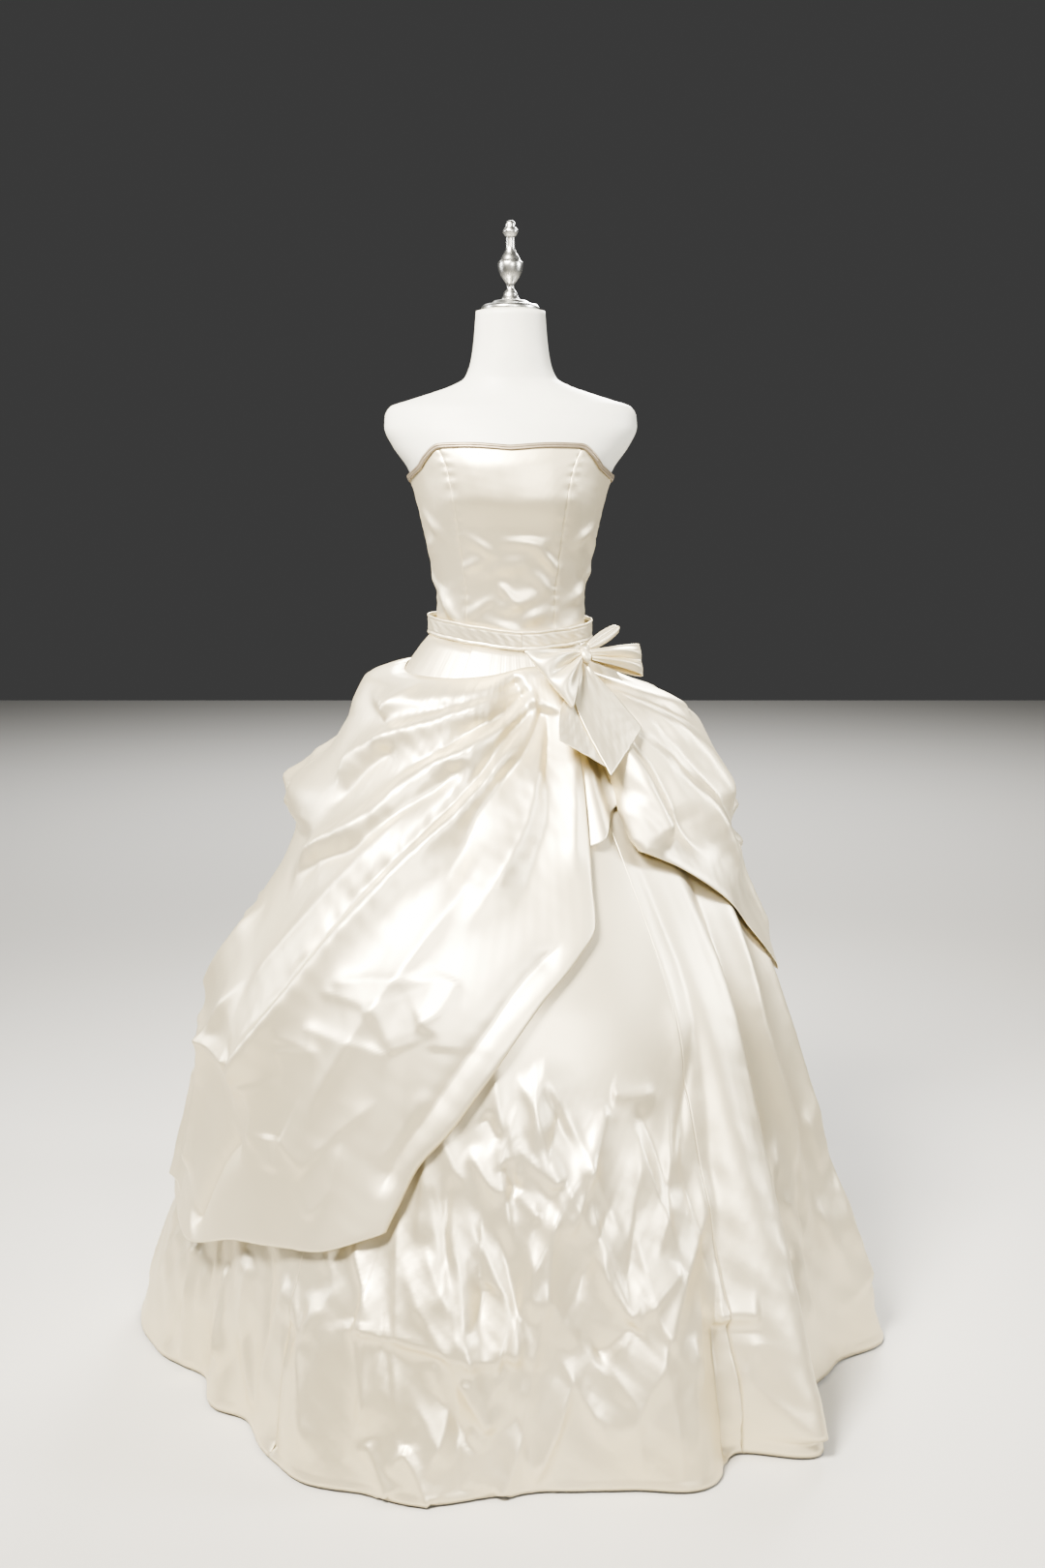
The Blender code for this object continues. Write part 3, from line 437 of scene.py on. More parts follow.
bodice = {
    "out": 0.0034,
    "least": 0.0024,  # the nearest that a wrinkle brings the cloth to the form
    "wrinkled": 3.4,  # how much deeper the wrinkles are than their rows say
    "neckline": ((0, 1.376), (20, 1.380), (34, 1.379), (46, 1.364), (58, 1.347), (75, 1.336), (90, 1.332),
        (120, 1.318), (150, 1.304), (180, 1.300)),
    # wrinkles: turn, z, length in degrees, height in metres, slant, depth in mm
    "wrinkles": (
        (-8, 1.268, 22, 0.008, 0.000, -1.6), (14, 1.256, 16, 0.007, 0.0005, -1.2),
            (2, 1.205, 20, 0.009, 0.0012, 1.5),
        (-16, 1.176, 18, 0.008, 0.0014, -1.6), (8, 1.150, 22, 0.008, 0.0010, 1.6),
            (-10, 1.128, 18, 0.006, -0.0006, -1.3),
        (22, 1.180, 12, 0.007, -0.0012, 1.2), (-52, 1.190, 14, 0.007, 0.0010, -1.6),
            (-60, 1.150, 14, 0.007, -0.0008, 1.8),
        (-70, 1.230, 12, 0.008, 0.0010, 1.5), (55, 1.200, 12, 0.007, -0.0012, -1.5),
            (66, 1.160, 14, 0.007, 0.0010, 1.6),
        (48, 1.130, 12, 0.006, 0.0008, -1.4), (74, 1.235, 12, 0.008, -0.0010, 1.4),
            (-50, 1.128, 12, 0.006, -0.0010, 1.5),
        (120, 1.190, 20, 0.008, 0.0008, 1.5), (-120, 1.170, 20, 0.008, -0.0008, 1.5),
            (150, 1.240, 16, 0.008, 0.0010, -1.4),
        (-152, 1.215, 16, 0.008, -0.0009, -1.4), (165, 1.150, 12, 0.007, 0.0, 1.5),
            (-165, 1.160, 12, 0.007, 0.0, 1.5),
        (-20, 1.232, 14, 0.006, -0.0008, 1.6), (10, 1.236, 20, 0.006, 0.0002, 1.3),
            (26, 1.212, 12, 0.006, -0.0014, 1.5),
        (-26, 1.205, 12, 0.006, 0.0012, 1.3), (-4, 1.165, 12, 0.006, -0.0014, 1.4),
            (18, 1.128, 12, 0.006, 0.0010, 1.4),
        (-24, 1.140, 10, 0.006, 0.0012, 1.5), (-2, 1.112, 12, 0.006, -0.0004, 1.2),
            (56, 1.245, 12, 0.006, 0.0014, 1.4),
        (-58, 1.260, 12, 0.006, -0.0012, 1.4), (80, 1.190, 10, 0.006, 0.0010, 1.4),
            (-82, 1.180, 10, 0.006, -0.0010, 1.4),
    ),
}


def bodicePoint(turn, share, edge):
    top = smooth(np.abs(turn), bodice["neckline"])
    low = seamHeight(turn) + 0.0017
    z = low + (top - low) * share
    out = bodice["out"] + 0.0004 * drift(turn / 14, z * 22, 3.0)
    for centre, level, long, tall, slant, depth in bodice["wrinkles"]:
        x = turn - centre
        out = out + bodice["wrinkled"] * depth * 0.001 * hump(x,
            0.8 * long) * hump(z - level - slant * x + 0.004 * np.sin(x / 9), 1.7 * tall)
    pucker = 0.0006 * np.sin(z * 330 + 2 * np.sin(z * 70)) * hump(edge - 0.003, 0.007)
    seam = -0.0012 * hump(edge, 0.0018)
    proud = bodice["out"] + 0.0004 - bodice["least"]
    lifted = out - bodice["least"]
    out = bodice["least"] + np.where(lifted < proud, proud * np.exp((lifted - proud) / proud), lifted)
    return torso(turn, z, out + pucker + seam)


def bodicePanel(name, start, end):
    def shape(u, v):
        u = 0.35 * u + 0.65 * (0.5 - 0.5 * np.cos(np.pi * u))
        turn = start + (end - start) * u
        edge = np.minimum(u, 1 - u) * abs(end - start) * 0.0022
        return bodicePoint(turn, v, edge)

    wide = abs(end - start) * 0.00235
    cloth(name + "_satin", shape, (84 if start == -36 else 44), 80, ivorySatin, [name], (wide, 0.30))


for name, start, end in (
    ("bodice_centre_front", -36, 36),
    ("bodice_side_front_left", -92, -36),
    ("bodice_side_front_right", 36, 92),
    ("bodice_side_back_left", -140, -92),
    ("bodice_side_back_right", 92, 140),
    ("bodice_back_left", -180, -140),
    ("bodice_back_right", 140, 180),
):
    bodicePanel(name, start, end)


def binding(u, v):
    turn = u * 360 - 180
    top = smooth(np.abs(turn), bodice["neckline"])
    angle = 2 * np.pi * v
    ripple = 0.0001 * np.sin(turn * 0.9 + 1.5 * np.sin(turn * 0.13))
    return torso(turn, top - 0.0012 + 0.0038 * np.sin(angle),
        bodice["out"] + 0.0026 + ripple + 0.0012 * np.cos(angle))


cloth("neckline_binding_satin", binding, 320, 12, taupeSatin, ["neckline_binding"], (0.88, 0.020),
    wall=0.0003, slot="taupe_satin")
print("bodice made")

belt = {"start": 26, "turns": 376, "height": 0.028, "wall": 0.0018}


def beltShape(u, v):
    azimuth = belt["start"] - u * belt["turns"]
    ring = turnBack(azimuth)
    overlap = 0.0032 * ease((u - 0.90) / 0.06)
    slack = 0.0024 * np.exp(-(((ring + 95) / 45) ** 2))
    low = seamHeight(ring) - 0.006
    piping = 0.0011 * (hump(v - 0.06, 0.045) + hump(v - 0.94, 0.045)) - 0.0004 * (hump(v - 0.16,
        0.03) + hump(v - 0.84, 0.03))
    soft = 0.0005 * drift(azimuth / 8, v * 2, 5.0)
    return around(azimuth, skirtRadius(ring, low) + 0.0037 + slack + overlap + piping + soft,
        low + belt["height"] * v + 0.0006 * drift(azimuth / 16, 0 * v, 2.0))


cloth("waist_belt_satin", beltShape, 300, 24, ivorySatin, ["waist_belt"], (0.74, 0.030),
    wall=belt["wall"])
print("belt made")

underCreases = (
    # line, out, left reach, right reach, crest, fade in, fade out
    (((50, 0.90), (50.7, 0.756), (50.8, 0.658), (49.7, 0.561), (49, 0.443), (46, 0.301), (43.5, 0.186),
        (42, 0.030)), 16, 18, 26, 12, 0.4, 0.001),
    (((65, 0.86), (65.8, 0.724), (64, 0.629), (62.8, 0.538), (65, 0.408), (66, 0.279), (66, 0.150)), 14,
        16, 16, 9, 0.3, 0.3),
    (((57, 0.84), (57, 0.70), (56, 0.55), (56, 0.40), (54, 0.20), (52, 0.02)), -12, 14, 18, 8, 0.3, 0.01),
    (((76, 0.78), (76, 0.62), (76, 0.45), (76, 0.30), (78, 0.10)), 8, 14, 20, 8, 0.3, 0.01),
    (((39, 0.85), (40, 0.70), (39, 0.55), (37, 0.40), (35, 0.25)), -6, 16, 12, 8, 0.3, 0.2),
    (((36, 0.75), (35, 0.60), (34, 0.48), (33, 0.39)), 4, 14, 16, 6, 0.4, 0.3),
    (((1.1, 0.535), (4.4, 0.489), (6.3, 0.434), (8.4, 0.388)), 5, 16, 10, 2, 0.2, 0.1),
    (((0.7, 0.449), (4.1, 0.419), (8.2, 0.388)), 4, 10, 14, 2, 0.2, 0.1),
    (((-4.5, 0.481), (-2.8, 0.462), (-0.9, 0.445)), -5, 8, 10, 3, 0.2, 0.2),
    (((-7.2, 0.438), (-4.2, 0.404), (0.2, 0.378)), 4, 10, 10, 2, 0.2, 0.2),
    (((-1.1, 0.423), (1.0, 0.392), (2.0, 0.400)), -5, 9, 9, 3, 0.2, 0.2),
    (((1.0, 0.385), (5.7, 0.347)), 4, 12, 10, 2, 0.1, 0.3),
    (((16.4, 0.490), (13.2, 0.423), (8.6, 0.371), (3.8, 0.287), (1.1, 0.219), (-0.5, 0.171)), 9, 26, 14,
        3, 0.2, 0.05),
    (((8, 0.375), (6.9, 0.340), (5.6, 0.256), (3.5, 0.176), (1.7, 0.077), (-0.8, 0.004)), 8, 14, 22, 3,
        0.1, 0.01),
    (((14.2, 0.434), (12.3, 0.384), (8.8, 0.317)), 5, 8, 14, 2, 0.2, 0.3),
    (((-14.2, 0.403), (-11.4, 0.323), (-8.5, 0.251), (-6.3, 0.183)), 5, 16, 20, 3, 0.3, 0.1),
    (((-16.8, 0.303), (-13.2, 0.244), (-8.6, 0.189), (-5.2, 0.134), (-1.9, 0.081)), 6, 18, 14, 3, 0.3, 0.1),
    (((-2.9, 0.268), (-5.7, 0.202)), -5, 16, 10, 3, 0.1, 0.2),
    (((-22.9, 0.216), (-18.2, 0.205), (-10.9, 0.194), (-6.3, 0.184), (-0.5, 0.174)), 10, 34, 9, 4, 0.05,
        0.05),
    (((-22.9, 0.213), (-20.5, 0.150), (-19.6, 0.097), (-18.7, 0.079)), 7, 12, 18, 3, 0.05, 0.3),
    (((-10.8, 0.184), (-9.2, 0.143), (-8.2, 0.109), (-10.6, 0.027)), 5, 12, 16, 2, 0.1, 0.3),
    (((-6.6, 0.156), (-4.3, 0.115), (-1.9, 0.081)), 5, 14, 10, 2, 0.1, 0.2),
    (((-13.4, 0.070), (-11.2, 0.030), (-9.8, 0.004)), 5, 8, 12, 2, 0.05, 0.01),
    (((-13.4, 0.070), (-15.5, 0.036)), 4, 10, 8, 2, 0.05, 0.3),
    (((-5.5, 0.091), (-2.9, 0.066)), 4, 8, 10, 2, 0.2, 0.2),
    (((-19.1, 0.074), (-15.4, 0.009)), 5, 12, 12, 3, 0.2, 0.01),
    (((17.6, 0.487), (11.9, 0.378)), 5, 12, 10, 2, 0.1, 0.3),
    (((18.7, 0.502), (28.3, 0.490)), 3, 6, 14, 2, 0.1, 0.3),
    (((23.3, 0.482), (26.1, 0.413), (27.4, 0.341)), -5, 14, 10, 3, 0.2, 0.2),
    (((33.9, 0.400), (33.4, 0.326), (27.0, 0.260), (23.1, 0.201), (17.2, 0.099), (14.4, 0.050)), 9, 16,
        26, 4, 0.2, 0.15),
    (((26.7, 0.279), (20.8, 0.237), (14.0, 0.160)), 6, 12, 14, 2, 0.1, 0.2),
    (((13.2, 0.367), (15.3, 0.296), (17.8, 0.214)), 5, 12, 14, 2, 0.2, 0.1),
    (((18.5, 0.213), (14.2, 0.181), (12.2, 0.167)), -8, 14, 12, 3, 0.1, 0.2),
    (((32.9, 0.190), (38.4, 0.190)), 9, 22, 7, 3, 0.05, 0.2),
    (((32.9, 0.184), (31.8, 0.115), (31.4, 0.004)), -10, 9, 16, 3, 0.05, 0.01),
    (((37.1, 0.168), (35, 0.099), (34, 0.029)), 6, 10, 12, 3, 0.1, 0.2),
    (((60.5, 0.187), (54, 0.173), (50, 0.047)), -6, 12, 12, 4, 0.1, 0.1),
    (((-69.7, 0.186), (-68, 0.101), (-66, 0.01)), 7, 14, 14, 4, 0.1, 0.01),
    (((-47.7, 0.230), (-48.1, 0.164), (-46.9, 0.101), (-41.8, 0.030)), 7, 12, 16, 4, 0.1, 0.1),
    (((-36.6, 0.234), (-38.6, 0.126), (-39.1, 0.047)), 7, 12, 16, 4, 0.1, 0.2),
    (((-29.7, 0.235), (-30.6, 0.145), (-26.9, 0.028)), 6, 14, 12, 4, 0.1, 0.2),
    (((-57.5, 0.190), (-54.5, 0.120), (-52.5, 0.060)), 6, 10, 14, 3, 0.1, 0.2),
    (((-33, 0.190), (-34.5, 0.100), (-34, 0.01)), -7, 10, 14, 4, 0.1, 0.01),
)
# the same kinds of crease where the gown is seen only from its sides and back
hiddenCreases = tuple(
    (((a, z), (a + da * 0.5 + 1, z - dz * 0.5), (a + da, z - dz)), h, l, r, 3, 0.2, 0.2)
    for a, z, da, dz, h, l, r in (
        (100, 0.36, 5, 0.20, 6, 14, 18), (112, 0.30, -6, 0.22, 5, 12, 16),
            (122, 0.22, 8, 0.16, 6, 14, 12), (134, 0.34, 4, 0.24, 5, 16, 14),
        (146, 0.26, -8, 0.20, 6, 12, 18), (158, 0.32, 6, 0.22, 5, 14, 14),
            (168, 0.20, -7, 0.16, 6, 12, 14), (-176, 0.34, 7, 0.22, 6, 14, 16),
        (-164, 0.24, -6, 0.20, 5, 12, 14), (-152, 0.30, 6, 0.22, 6, 14, 16),
            (-140, 0.20, 7, 0.16, 5, 12, 14), (-128, 0.26, -7, 0.20, 6, 14, 14),
        (-116, 0.22, 5, 0.18, 5, 12, 16), (-104, 0.24, -6, 0.20, 6, 14, 14),
            (-94, 0.20, 6, 0.16, 5, 12, 14), (88, 0.30, 4, 0.22, 5, 14, 12),
    )
)


# Short sharp creases of the lower skirt, one side steep and the other gentle, scattered from a fixed seed.
def scatter(count, azimuths, heights, seed):
    dice = np.random.default_rng(seed)
    rows = []
    for _ in range(count):
        a, z = dice.uniform(*azimuths), dice.uniform(*heights)
        long, lean = dice.uniform(0.10, 0.24), dice.uniform(-0.6, 0.6)
        degrees = np.degrees(1 / 0.55)
        bend = dice.uniform(-0.03, 0.03)
        line = tuple((a + degrees * long * (t * np.sin(lean) + side), z + long * t * np.cos(lean)) for t,
            side in ((-0.5, 0), (0, bend), (0.5, 0)))
        steep, gentle = dice.uniform(6, 9), dice.uniform(20, 38)
        sides = (steep, gentle) if dice.random() < 0.5 else (gentle, steep)
        rows.append((line, dice.choice((-1, 1, 1)) * dice.uniform(3.0, 5.5), *sides, 2.5, 0.35, 0.35))
    return tuple(rows)


crumples = scatter(72, (-31, 34), (0.05, 0.50), 11) + scatter(18, (-80, -32), (0.06, 0.22),
    5) + scatter(20, (36, 92), (0.06, 0.36), 8)


def underPoint(azimuth, z, extra):
    radius = skirtRadius(azimuth, z) + flutes(azimuth, z) + creases(azimuth, z, extra, skirt["creased"])
    low = ease((0.60 - z) / 0.35)
    radius = radius + low * 0.0010 * drift(azimuth / 4, z * 30, 1.0)
    waist = ease((z - 0.98) / 0.08) * ease((1.085 - z) / 0.02)
    radius = radius + 0.0003 * waist * drift(azimuth / 5, 2 * z, 2.0)
    radius = radius + 0.0014 * hump(z - skirt["hem"] - 0.006,
        0.003) - 0.0008 * hump(z - skirt["hem"] - 0.012, 0.002)
    return around(azimuth, radius, z)


def gore(name, start, end, across, down):
    low, high = min(start, end) - 14, max(start, end) + 14
    near = tuple(row for row in underCreases + hiddenCreases + crumples if any(low < a < high for a,
        z in row[0]))

    def shape(u, v):
        azimuth = start + (end - start) * u
        top = seamHeight(azimuth) - 0.0010
        z = top + (skirt["hem"] - top) * (1 - v) ** 0.82
        return underPoint(azimuth, z, near)

    cloth(name + "_satin", shape, across, down, crushedSatin, [name],
        (abs(end - start) / 360 * 4.1, 1.28))


gore("underskirt_front", -34.5, 34.5, 240, 170)
gore("underskirt_side_left", -106, -34.5, 150, 124)
gore("underskirt_side_right", 34.5, 106, 160, 130)
gore("underskirt_back_left", -180, -106, 84, 90)
gore("underskirt_back_right", 106, 180, 84, 90)
print("underskirt made")

over = {
    "angles": (-180, -90, -38, 10, 48, 90, 180),
    "lift": (
        (1.060, 0.030, 0.024, 0.010, 0.010, 0.010, 0.006),
            (1.030, 0.075, 0.054, 0.016, 0.014, 0.022, 0.020),
        (1.000, 0.096, 0.052, 0.022, 0.018, 0.034, 0.058),
            (0.965, 0.100, 0.044, 0.024, 0.020, 0.042, 0.081),
        (0.930, 0.088, 0.044, 0.026, 0.022, 0.044, 0.077),
            (0.900, 0.062, 0.056, 0.028, 0.022, 0.042, 0.074),
        (0.865, 0.074, 0.076, 0.030, 0.022, 0.038, 0.070),
            (0.830, 0.086, 0.060, 0.032, 0.022, 0.032, 0.056),
        (0.795, 0.080, 0.028, 0.034, 0.022, 0.026, 0.038),
            (0.750, 0.056, 0.028, 0.036, 0.022, 0.022, 0.022),
        (0.700, 0.068, 0.036, 0.040, 0.022, 0.020, 0.016),
            (0.640, 0.072, 0.046, 0.042, 0.022, 0.018, 0.018),
        (0.575, 0.056, 0.052, 0.042, 0.020, 0.018, 0.012),
            (0.490, 0.048, 0.044, 0.038, 0.020, 0.016, 0.014),
        (0.400, 0.034, 0.024, 0.032, 0.020, 0.016, 0.014),
            (0.250, 0.020, 0.014, 0.020, 0.018, 0.016, 0.014),
    ),
    "tucks": (
        (-118, 0.900, 0.040, 8, 0.050), (-150, 0.860, 0.036, 8, 0.045), (152, 0.870, 0.036, 8, 0.045),
            (120, 0.850, 0.038, 8, 0.050),
        (-170, 0.700, 0.030, 8, 0.045), (-132, 0.660, 0.030, 8, 0.045), (136, 0.680, 0.030, 8, 0.045),
            (104, 0.720, 0.014, 6, 0.040),
    ),
    "top": (
        (-180, 1.058), (-125, 1.060), (-95, 1.054), (-74, 1.040), (-44, 1.037), (-16, 1.042), (15, 1.054),
        (40, 1.056), (60, 1.044), (80, 1.026), (95, 1.024), (125, 1.045), (180, 1.058),
    ),
    "hem": (
        (-180, 0.420), (-150, 0.380), (-120, 0.310), (-90, 0.240), (-66, 0.212), (-48, 0.262),
            (-37, 0.279), (-30, 0.290), (-22, 0.318), (-18, 0.333),
    ),
    "rightHem": (
        (38, 0.802), (41, 0.795), (49, 0.774), (57, 0.744), (66, 0.700), (71, 0.655), (78, 0.600),
            (90, 0.565), (120, 0.520), (150, 0.470), (180, 0.420),
    ),
    "swagEdge": (
        (1.060, 33), (1.022, 32), (0.962, 31), (0.920, 29), (0.872, 26.5), (0.822, 24), (0.762, 21.5),
            (0.714, 20),
        (0.679, 15), (0.622, 6), (0.526, -4), (0.461, -10), (0.412, -15), (0.362, -17.5), (0.333, -19),
            (0.250, -22),
    ),
    "rightEdge": ((1.060, 36), (0.990, 37), (0.930, 38.5), (0.890, 39), (0.850, 37), (0.820, 37),
        (0.795, 39), (0.700, 40)),
    "creased": 2.1,
    "round": 0.016,
    "edgeLift": 0.019,
}
# The folds run from the bow: left is below a line and right is above it, on the swag.
swagFolds = (
    (((12, 1.041), (-14, 1.022), (-44, 1.010), (-72, 1.000)), 10, 18, 14, 12, 0.3, 0.2),
    (((10, 1.034), (-14, 1.008), (-35, 0.980), (-52, 0.952), (-60, 0.920), (-62, 0.860)), 18, 34, 11, 7,
        0.3, 0.25),
    (((17, 1.010), (-3, 0.974), (-19, 0.942), (-29, 0.922), (-39, 0.860), (-57, 0.795), (-66, 0.735)), 20,
        36, 14, 7, 0.3, 0.25),
    (((-14, 0.934), (-19, 0.914), (-26, 0.885), (-34, 0.852), (-42, 0.806), (-53, 0.781), (-62, 0.740)),
        -7, 12, 12, 5, 0.1, 0.2),
    (((18, 1.007), (3, 0.960), (-6, 0.915), (-16, 0.862), (-25, 0.814), (-32, 0.752), (-38, 0.690),
        (-44, 0.610), (-51, 0.510), (-55, 0.421)), 22, 24, 34, 6, 0.3, 0.15),
    (((3, 0.937), (-5, 0.893), (-11, 0.855), (-13, 0.817), (-15, 0.777), (-14, 0.726)), -8, 20, 16, 8,
        0.2, 0.4),
    (((12, 0.700), (3, 0.650), (-7, 0.560), (-13, 0.490), (-18, 0.430), (-21, 0.370)), -4, 9, 14, 4, 0.1,
        0.1),
    (((-4, 0.84), (-12, 0.76), (-20, 0.68), (-28, 0.58), (-34, 0.48), (-38, 0.38)), 5, 12, 30, 5, 0.3, 0.3),
    (((19, 0.996), (12, 0.937), (7, 0.875), (1, 0.816), (-5, 0.765), (-12, 0.690)), 14, 26, 28, 8, 0.3,
        0.4),
    (((22, 0.99), (16, 0.926), (11, 0.845), (5, 0.779), (-1, 0.715)), -5, 20, 16, 8, 0.3, 0.4),
    (((27, 0.98), (23, 0.90), (19, 0.83), (17, 0.764)), 5, 14, 16, 6, 0.3, 0.3),
    (((10, 1.038), (-4, 1.022), (-23, 1.004), (-41, 0.987), (-49, 0.973)), -9, 11, 11, 4, 0.1, 0.4),
    (((15, 1.026), (-4, 0.991), (-16, 0.970), (-27, 0.940), (-38, 0.909), (-43, 0.882)), -11, 11, 11, 4,
        0.1, 0.35),
    (((18, 1.012), (8, 0.985), (-4, 0.950), (-10, 0.915), (-17, 0.876), (-25, 0.825), (-35, 0.747),
        (-40, 0.685), (-45, 0.618), (-52, 0.544), (-56, 0.489)), -11, 11, 12, 4, 0.1, 0.3),
    (((20, 1.006), (14, 0.972), (6, 0.935), (-2, 0.905), (-9, 0.872)), -6, 11, 11, 4, 0.1, 0.5),
    (((22, 1.000), (18, 0.95), (13, 0.90), (9, 0.862)), -6, 11, 11, 4, 0.1, 0.5),
    (((17, 1.016), (2, 0.998), (-10, 0.985), (-22, 0.966)), 5, 11, 11, 4, 0.1, 0.5),
    (((-24, 0.90), (-34, 0.83), (-44, 0.74), (-52, 0.66), (-60, 0.56)), 7, 16, 14, 4, 0.3, 0.3),
    (((-44, 0.95), (-54, 0.90), (-60, 0.84)), -6, 11, 11, 4, 0.2, 0.3),
    (((-50, 1.030), (-55, 1.000), (-57, 0.975)), 6, 11, 11, 4, 0.2, 0.3),
    (((-35, 0.640), (-24, 0.652), (-10, 0.654)), 2.2, 7, 24, 3, 0.1, 0.3),
    (((-37, 0.628), (-27, 0.618), (-20, 0.552)), 2.2, 24, 7, 3, 0.1, 0.2),
    (((-39, 0.578), (-29, 0.568), (-20, 0.552)), 2.2, 7, 24, 3, 0.1, 0.1),
    (((-26, 0.627), (-20, 0.558)), 1.8, 24, 7, 3, 0.2, 0.1),
    (((-10, 0.656), (-13, 0.614), (-17, 0.599)), 2.2, 7, 24, 3, 0.1, 0.1),
    (((-17, 0.599), (-13, 0.586), (-13, 0.562)), 1.8, 24, 7, 3, 0.1, 0.2),
    (((-43, 0.422), (-41, 0.370)), 1.8, 7, 24, 3, 0.1, 0.3),
    (((-41, 0.420), (-34, 0.389)), 1.8, 24, 7, 3, 0.1, 0.3),
    (((-28, 0.441), (-29, 0.372), (-34, 0.324)), 1.8, 7, 24, 3, 0.2, 0.2),
    (((-51, 0.481), (-48, 0.439), (-49, 0.392)), 2.2, 24, 7, 3, 0.1, 0.2),
    (((-44, 0.535), (-33, 0.550)), 1.8, 7, 24, 3, 0.1, 0.3),
    (((-44, 0.558), (-34, 0.551)), 1.8, 24, 7, 3, 0.1, 0.3),
    (((-22, 0.50), (-30, 0.44), (-38, 0.36)), 1.8, 7, 24, 3, 0.2, 0.3),
    (((-14, 0.52), (-18, 0.46), (-22, 0.40)), 1.4, 24, 7, 3, 0.2, 0.3),
    (((-56, 0.494), (-66, 0.50), (-85, 0.508)), 7, 18, 11, 4, 0.1, 0.1),
    (((-51, 0.400), (-57, 0.347), (-64, 0.230)), -6, 12, 14, 4, 0.1, 0.1),
    (((-72, 0.70), (-80, 0.62), (-90, 0.52)), 9, 20, 14, 6, 0.2, 0.2),
    (((-60, 0.62), (-68, 0.52), (-74, 0.40), (-72, 0.28)), 9, 16, 20, 5, 0.2, 0.1),
    (((-80, 0.45), (-84, 0.34), (-82, 0.25)), 8, 14, 16, 5, 0.2, 0.01),
)
drapeFolds = (
    (((48, 1.034), (56, 1.010), (64, 0.985), (72, 0.946), (77, 0.880), (80, 0.800)), 12, 20, 26, 8, 0.3,
        0.3),
    (((44, 1.020), (45, 0.960), (45, 0.900), (46, 0.850), (50, 0.800)), 14, 20, 22, 7, 0.3, 0.2),
    (((50, 1.020), (58, 0.950), (64, 0.890), (70, 0.810), (80, 0.700)), 12, 20, 22, 7, 0.3, 0.3),
    (((47, 1.010), (51, 0.950), (54, 0.890), (57, 0.820), (62, 0.760)), -8, 14, 14, 6, 0.3, 0.3),
    (((54, 1.024), (61, 0.975), (67, 0.914), (72, 0.852), (78, 0.780)), -7, 12, 14, 5, 0.3, 0.3),
    (((60, 1.030), (74, 1.005), (86, 0.985)), 8, 12, 14, 5, 0.2, 0.2),
    (((84, 0.80), (86, 0.70), (88, 0.62)), 6, 12, 12, 4, 0.2, 0.2),
    (((44, 1.030), (52, 0.99), (59, 0.945), (65, 0.89), (70, 0.83)), -8, 11, 11, 4, 0.1, 0.4),
    (((42, 1.030), (45, 0.985), (48, 0.94), (50, 0.90)), -7, 11, 11, 4, 0.1, 0.4),
    (((47, 1.040), (60, 1.018), (72, 0.985), (82, 0.94)), -7, 11, 11, 4, 0.1, 0.4),
)
# The bustle's folds hang in swags from tuck to tuck, with short spokes out of each tuck.
tuckPairs = (
    (-93, 0.935, -118, 0.900), (-118, 0.900, -150, 0.860), (-150, 0.860, -179, 0.845),
        (179, 0.845, 152, 0.870),
    (152, 0.870, 120, 0.850), (120, 0.850, 93, 0.870), (-97, 0.690, -132, 0.660),
        (-132, 0.660, -170, 0.700),
    (176, 0.700, 136, 0.680), (136, 0.680, 104, 0.720), (-104, 1.030, -148, 1.035),
        (148, 1.035, 106, 1.020),
)
bustleFolds = []
for k, (a0, z0, a1, z1) in enumerate(tuckPairs):
    for n, (sag, height) in enumerate(((0.018, 9), (0.052, 11), (0.092, 9))):
        sag = sag * (1 + 0.22 * np.sin(k * 2.3 + n))
        inner = 0.10 + 0.05 * n
        t = np.array((inner, 0.3, 0.5, 0.7, 1 - inner))
        line = tuple((a0 + (a1 - a0) * q,
            z0 + (z1 - z0) * q - sag * (1 - (2 * q - 1) ** 2) * 1.2) for q in t)
        bustleFolds.append((line, height, 13 + 2 * n, 15 + n, 5, 0.25, 0.25))
for k, (azimuth, z, depth, wide, tall) in enumerate(over["tucks"]):
    for da, dz in ((-9, 0.070), (10, 0.065), (-10, -0.11), (9, -0.12)):
        line = ((azimuth + da * 0.2, z + dz * 0.2), (azimuth + da * 0.6 + 1, z + dz * 0.6),
            (azimuth + da, z + dz))
        bustleFolds.append((line, 6 + k % 3, 13, 13, 4, 0.2, 0.5))
bustleFolds = tuple(bustleFolds)


def lift(azimuth, z, folds):
    rows = [smooth(z, over["lift"], k) for k in (1, 2, 3, 4, 5, 6, 1)]
    azimuth = np.clip(azimuth, -180, 180)
    out = 0 * azimuth + rows[0]
    for a, b, low, high in zip(over["angles"][:-1], over["angles"][1:], rows[:-1], rows[1:]):
        part = ease((azimuth - a) / (b - a))
        out = np.where((azimuth >= a) & (azimuth <= b), low + (high - low) * part, out)
    for centre, level, depth, wide, tall in over["tucks"]:
        out = out - depth * hump(turnBack(azimuth - centre), wide) * hump(z - level, tall)
    return np.maximum(out, 0.012) + creases(azimuth, z, folds,
        over["creased"]) + 0.0006 * drift(azimuth / 9, z * 12, 6.0)


def nearFolds(start, end):
    low, high = min(start, end) - 24, max(start, end) + 24
    return tuple(row for row in swagFolds + drapeFolds + bustleFolds if any(low < a < high for a,
        z in row[0]))


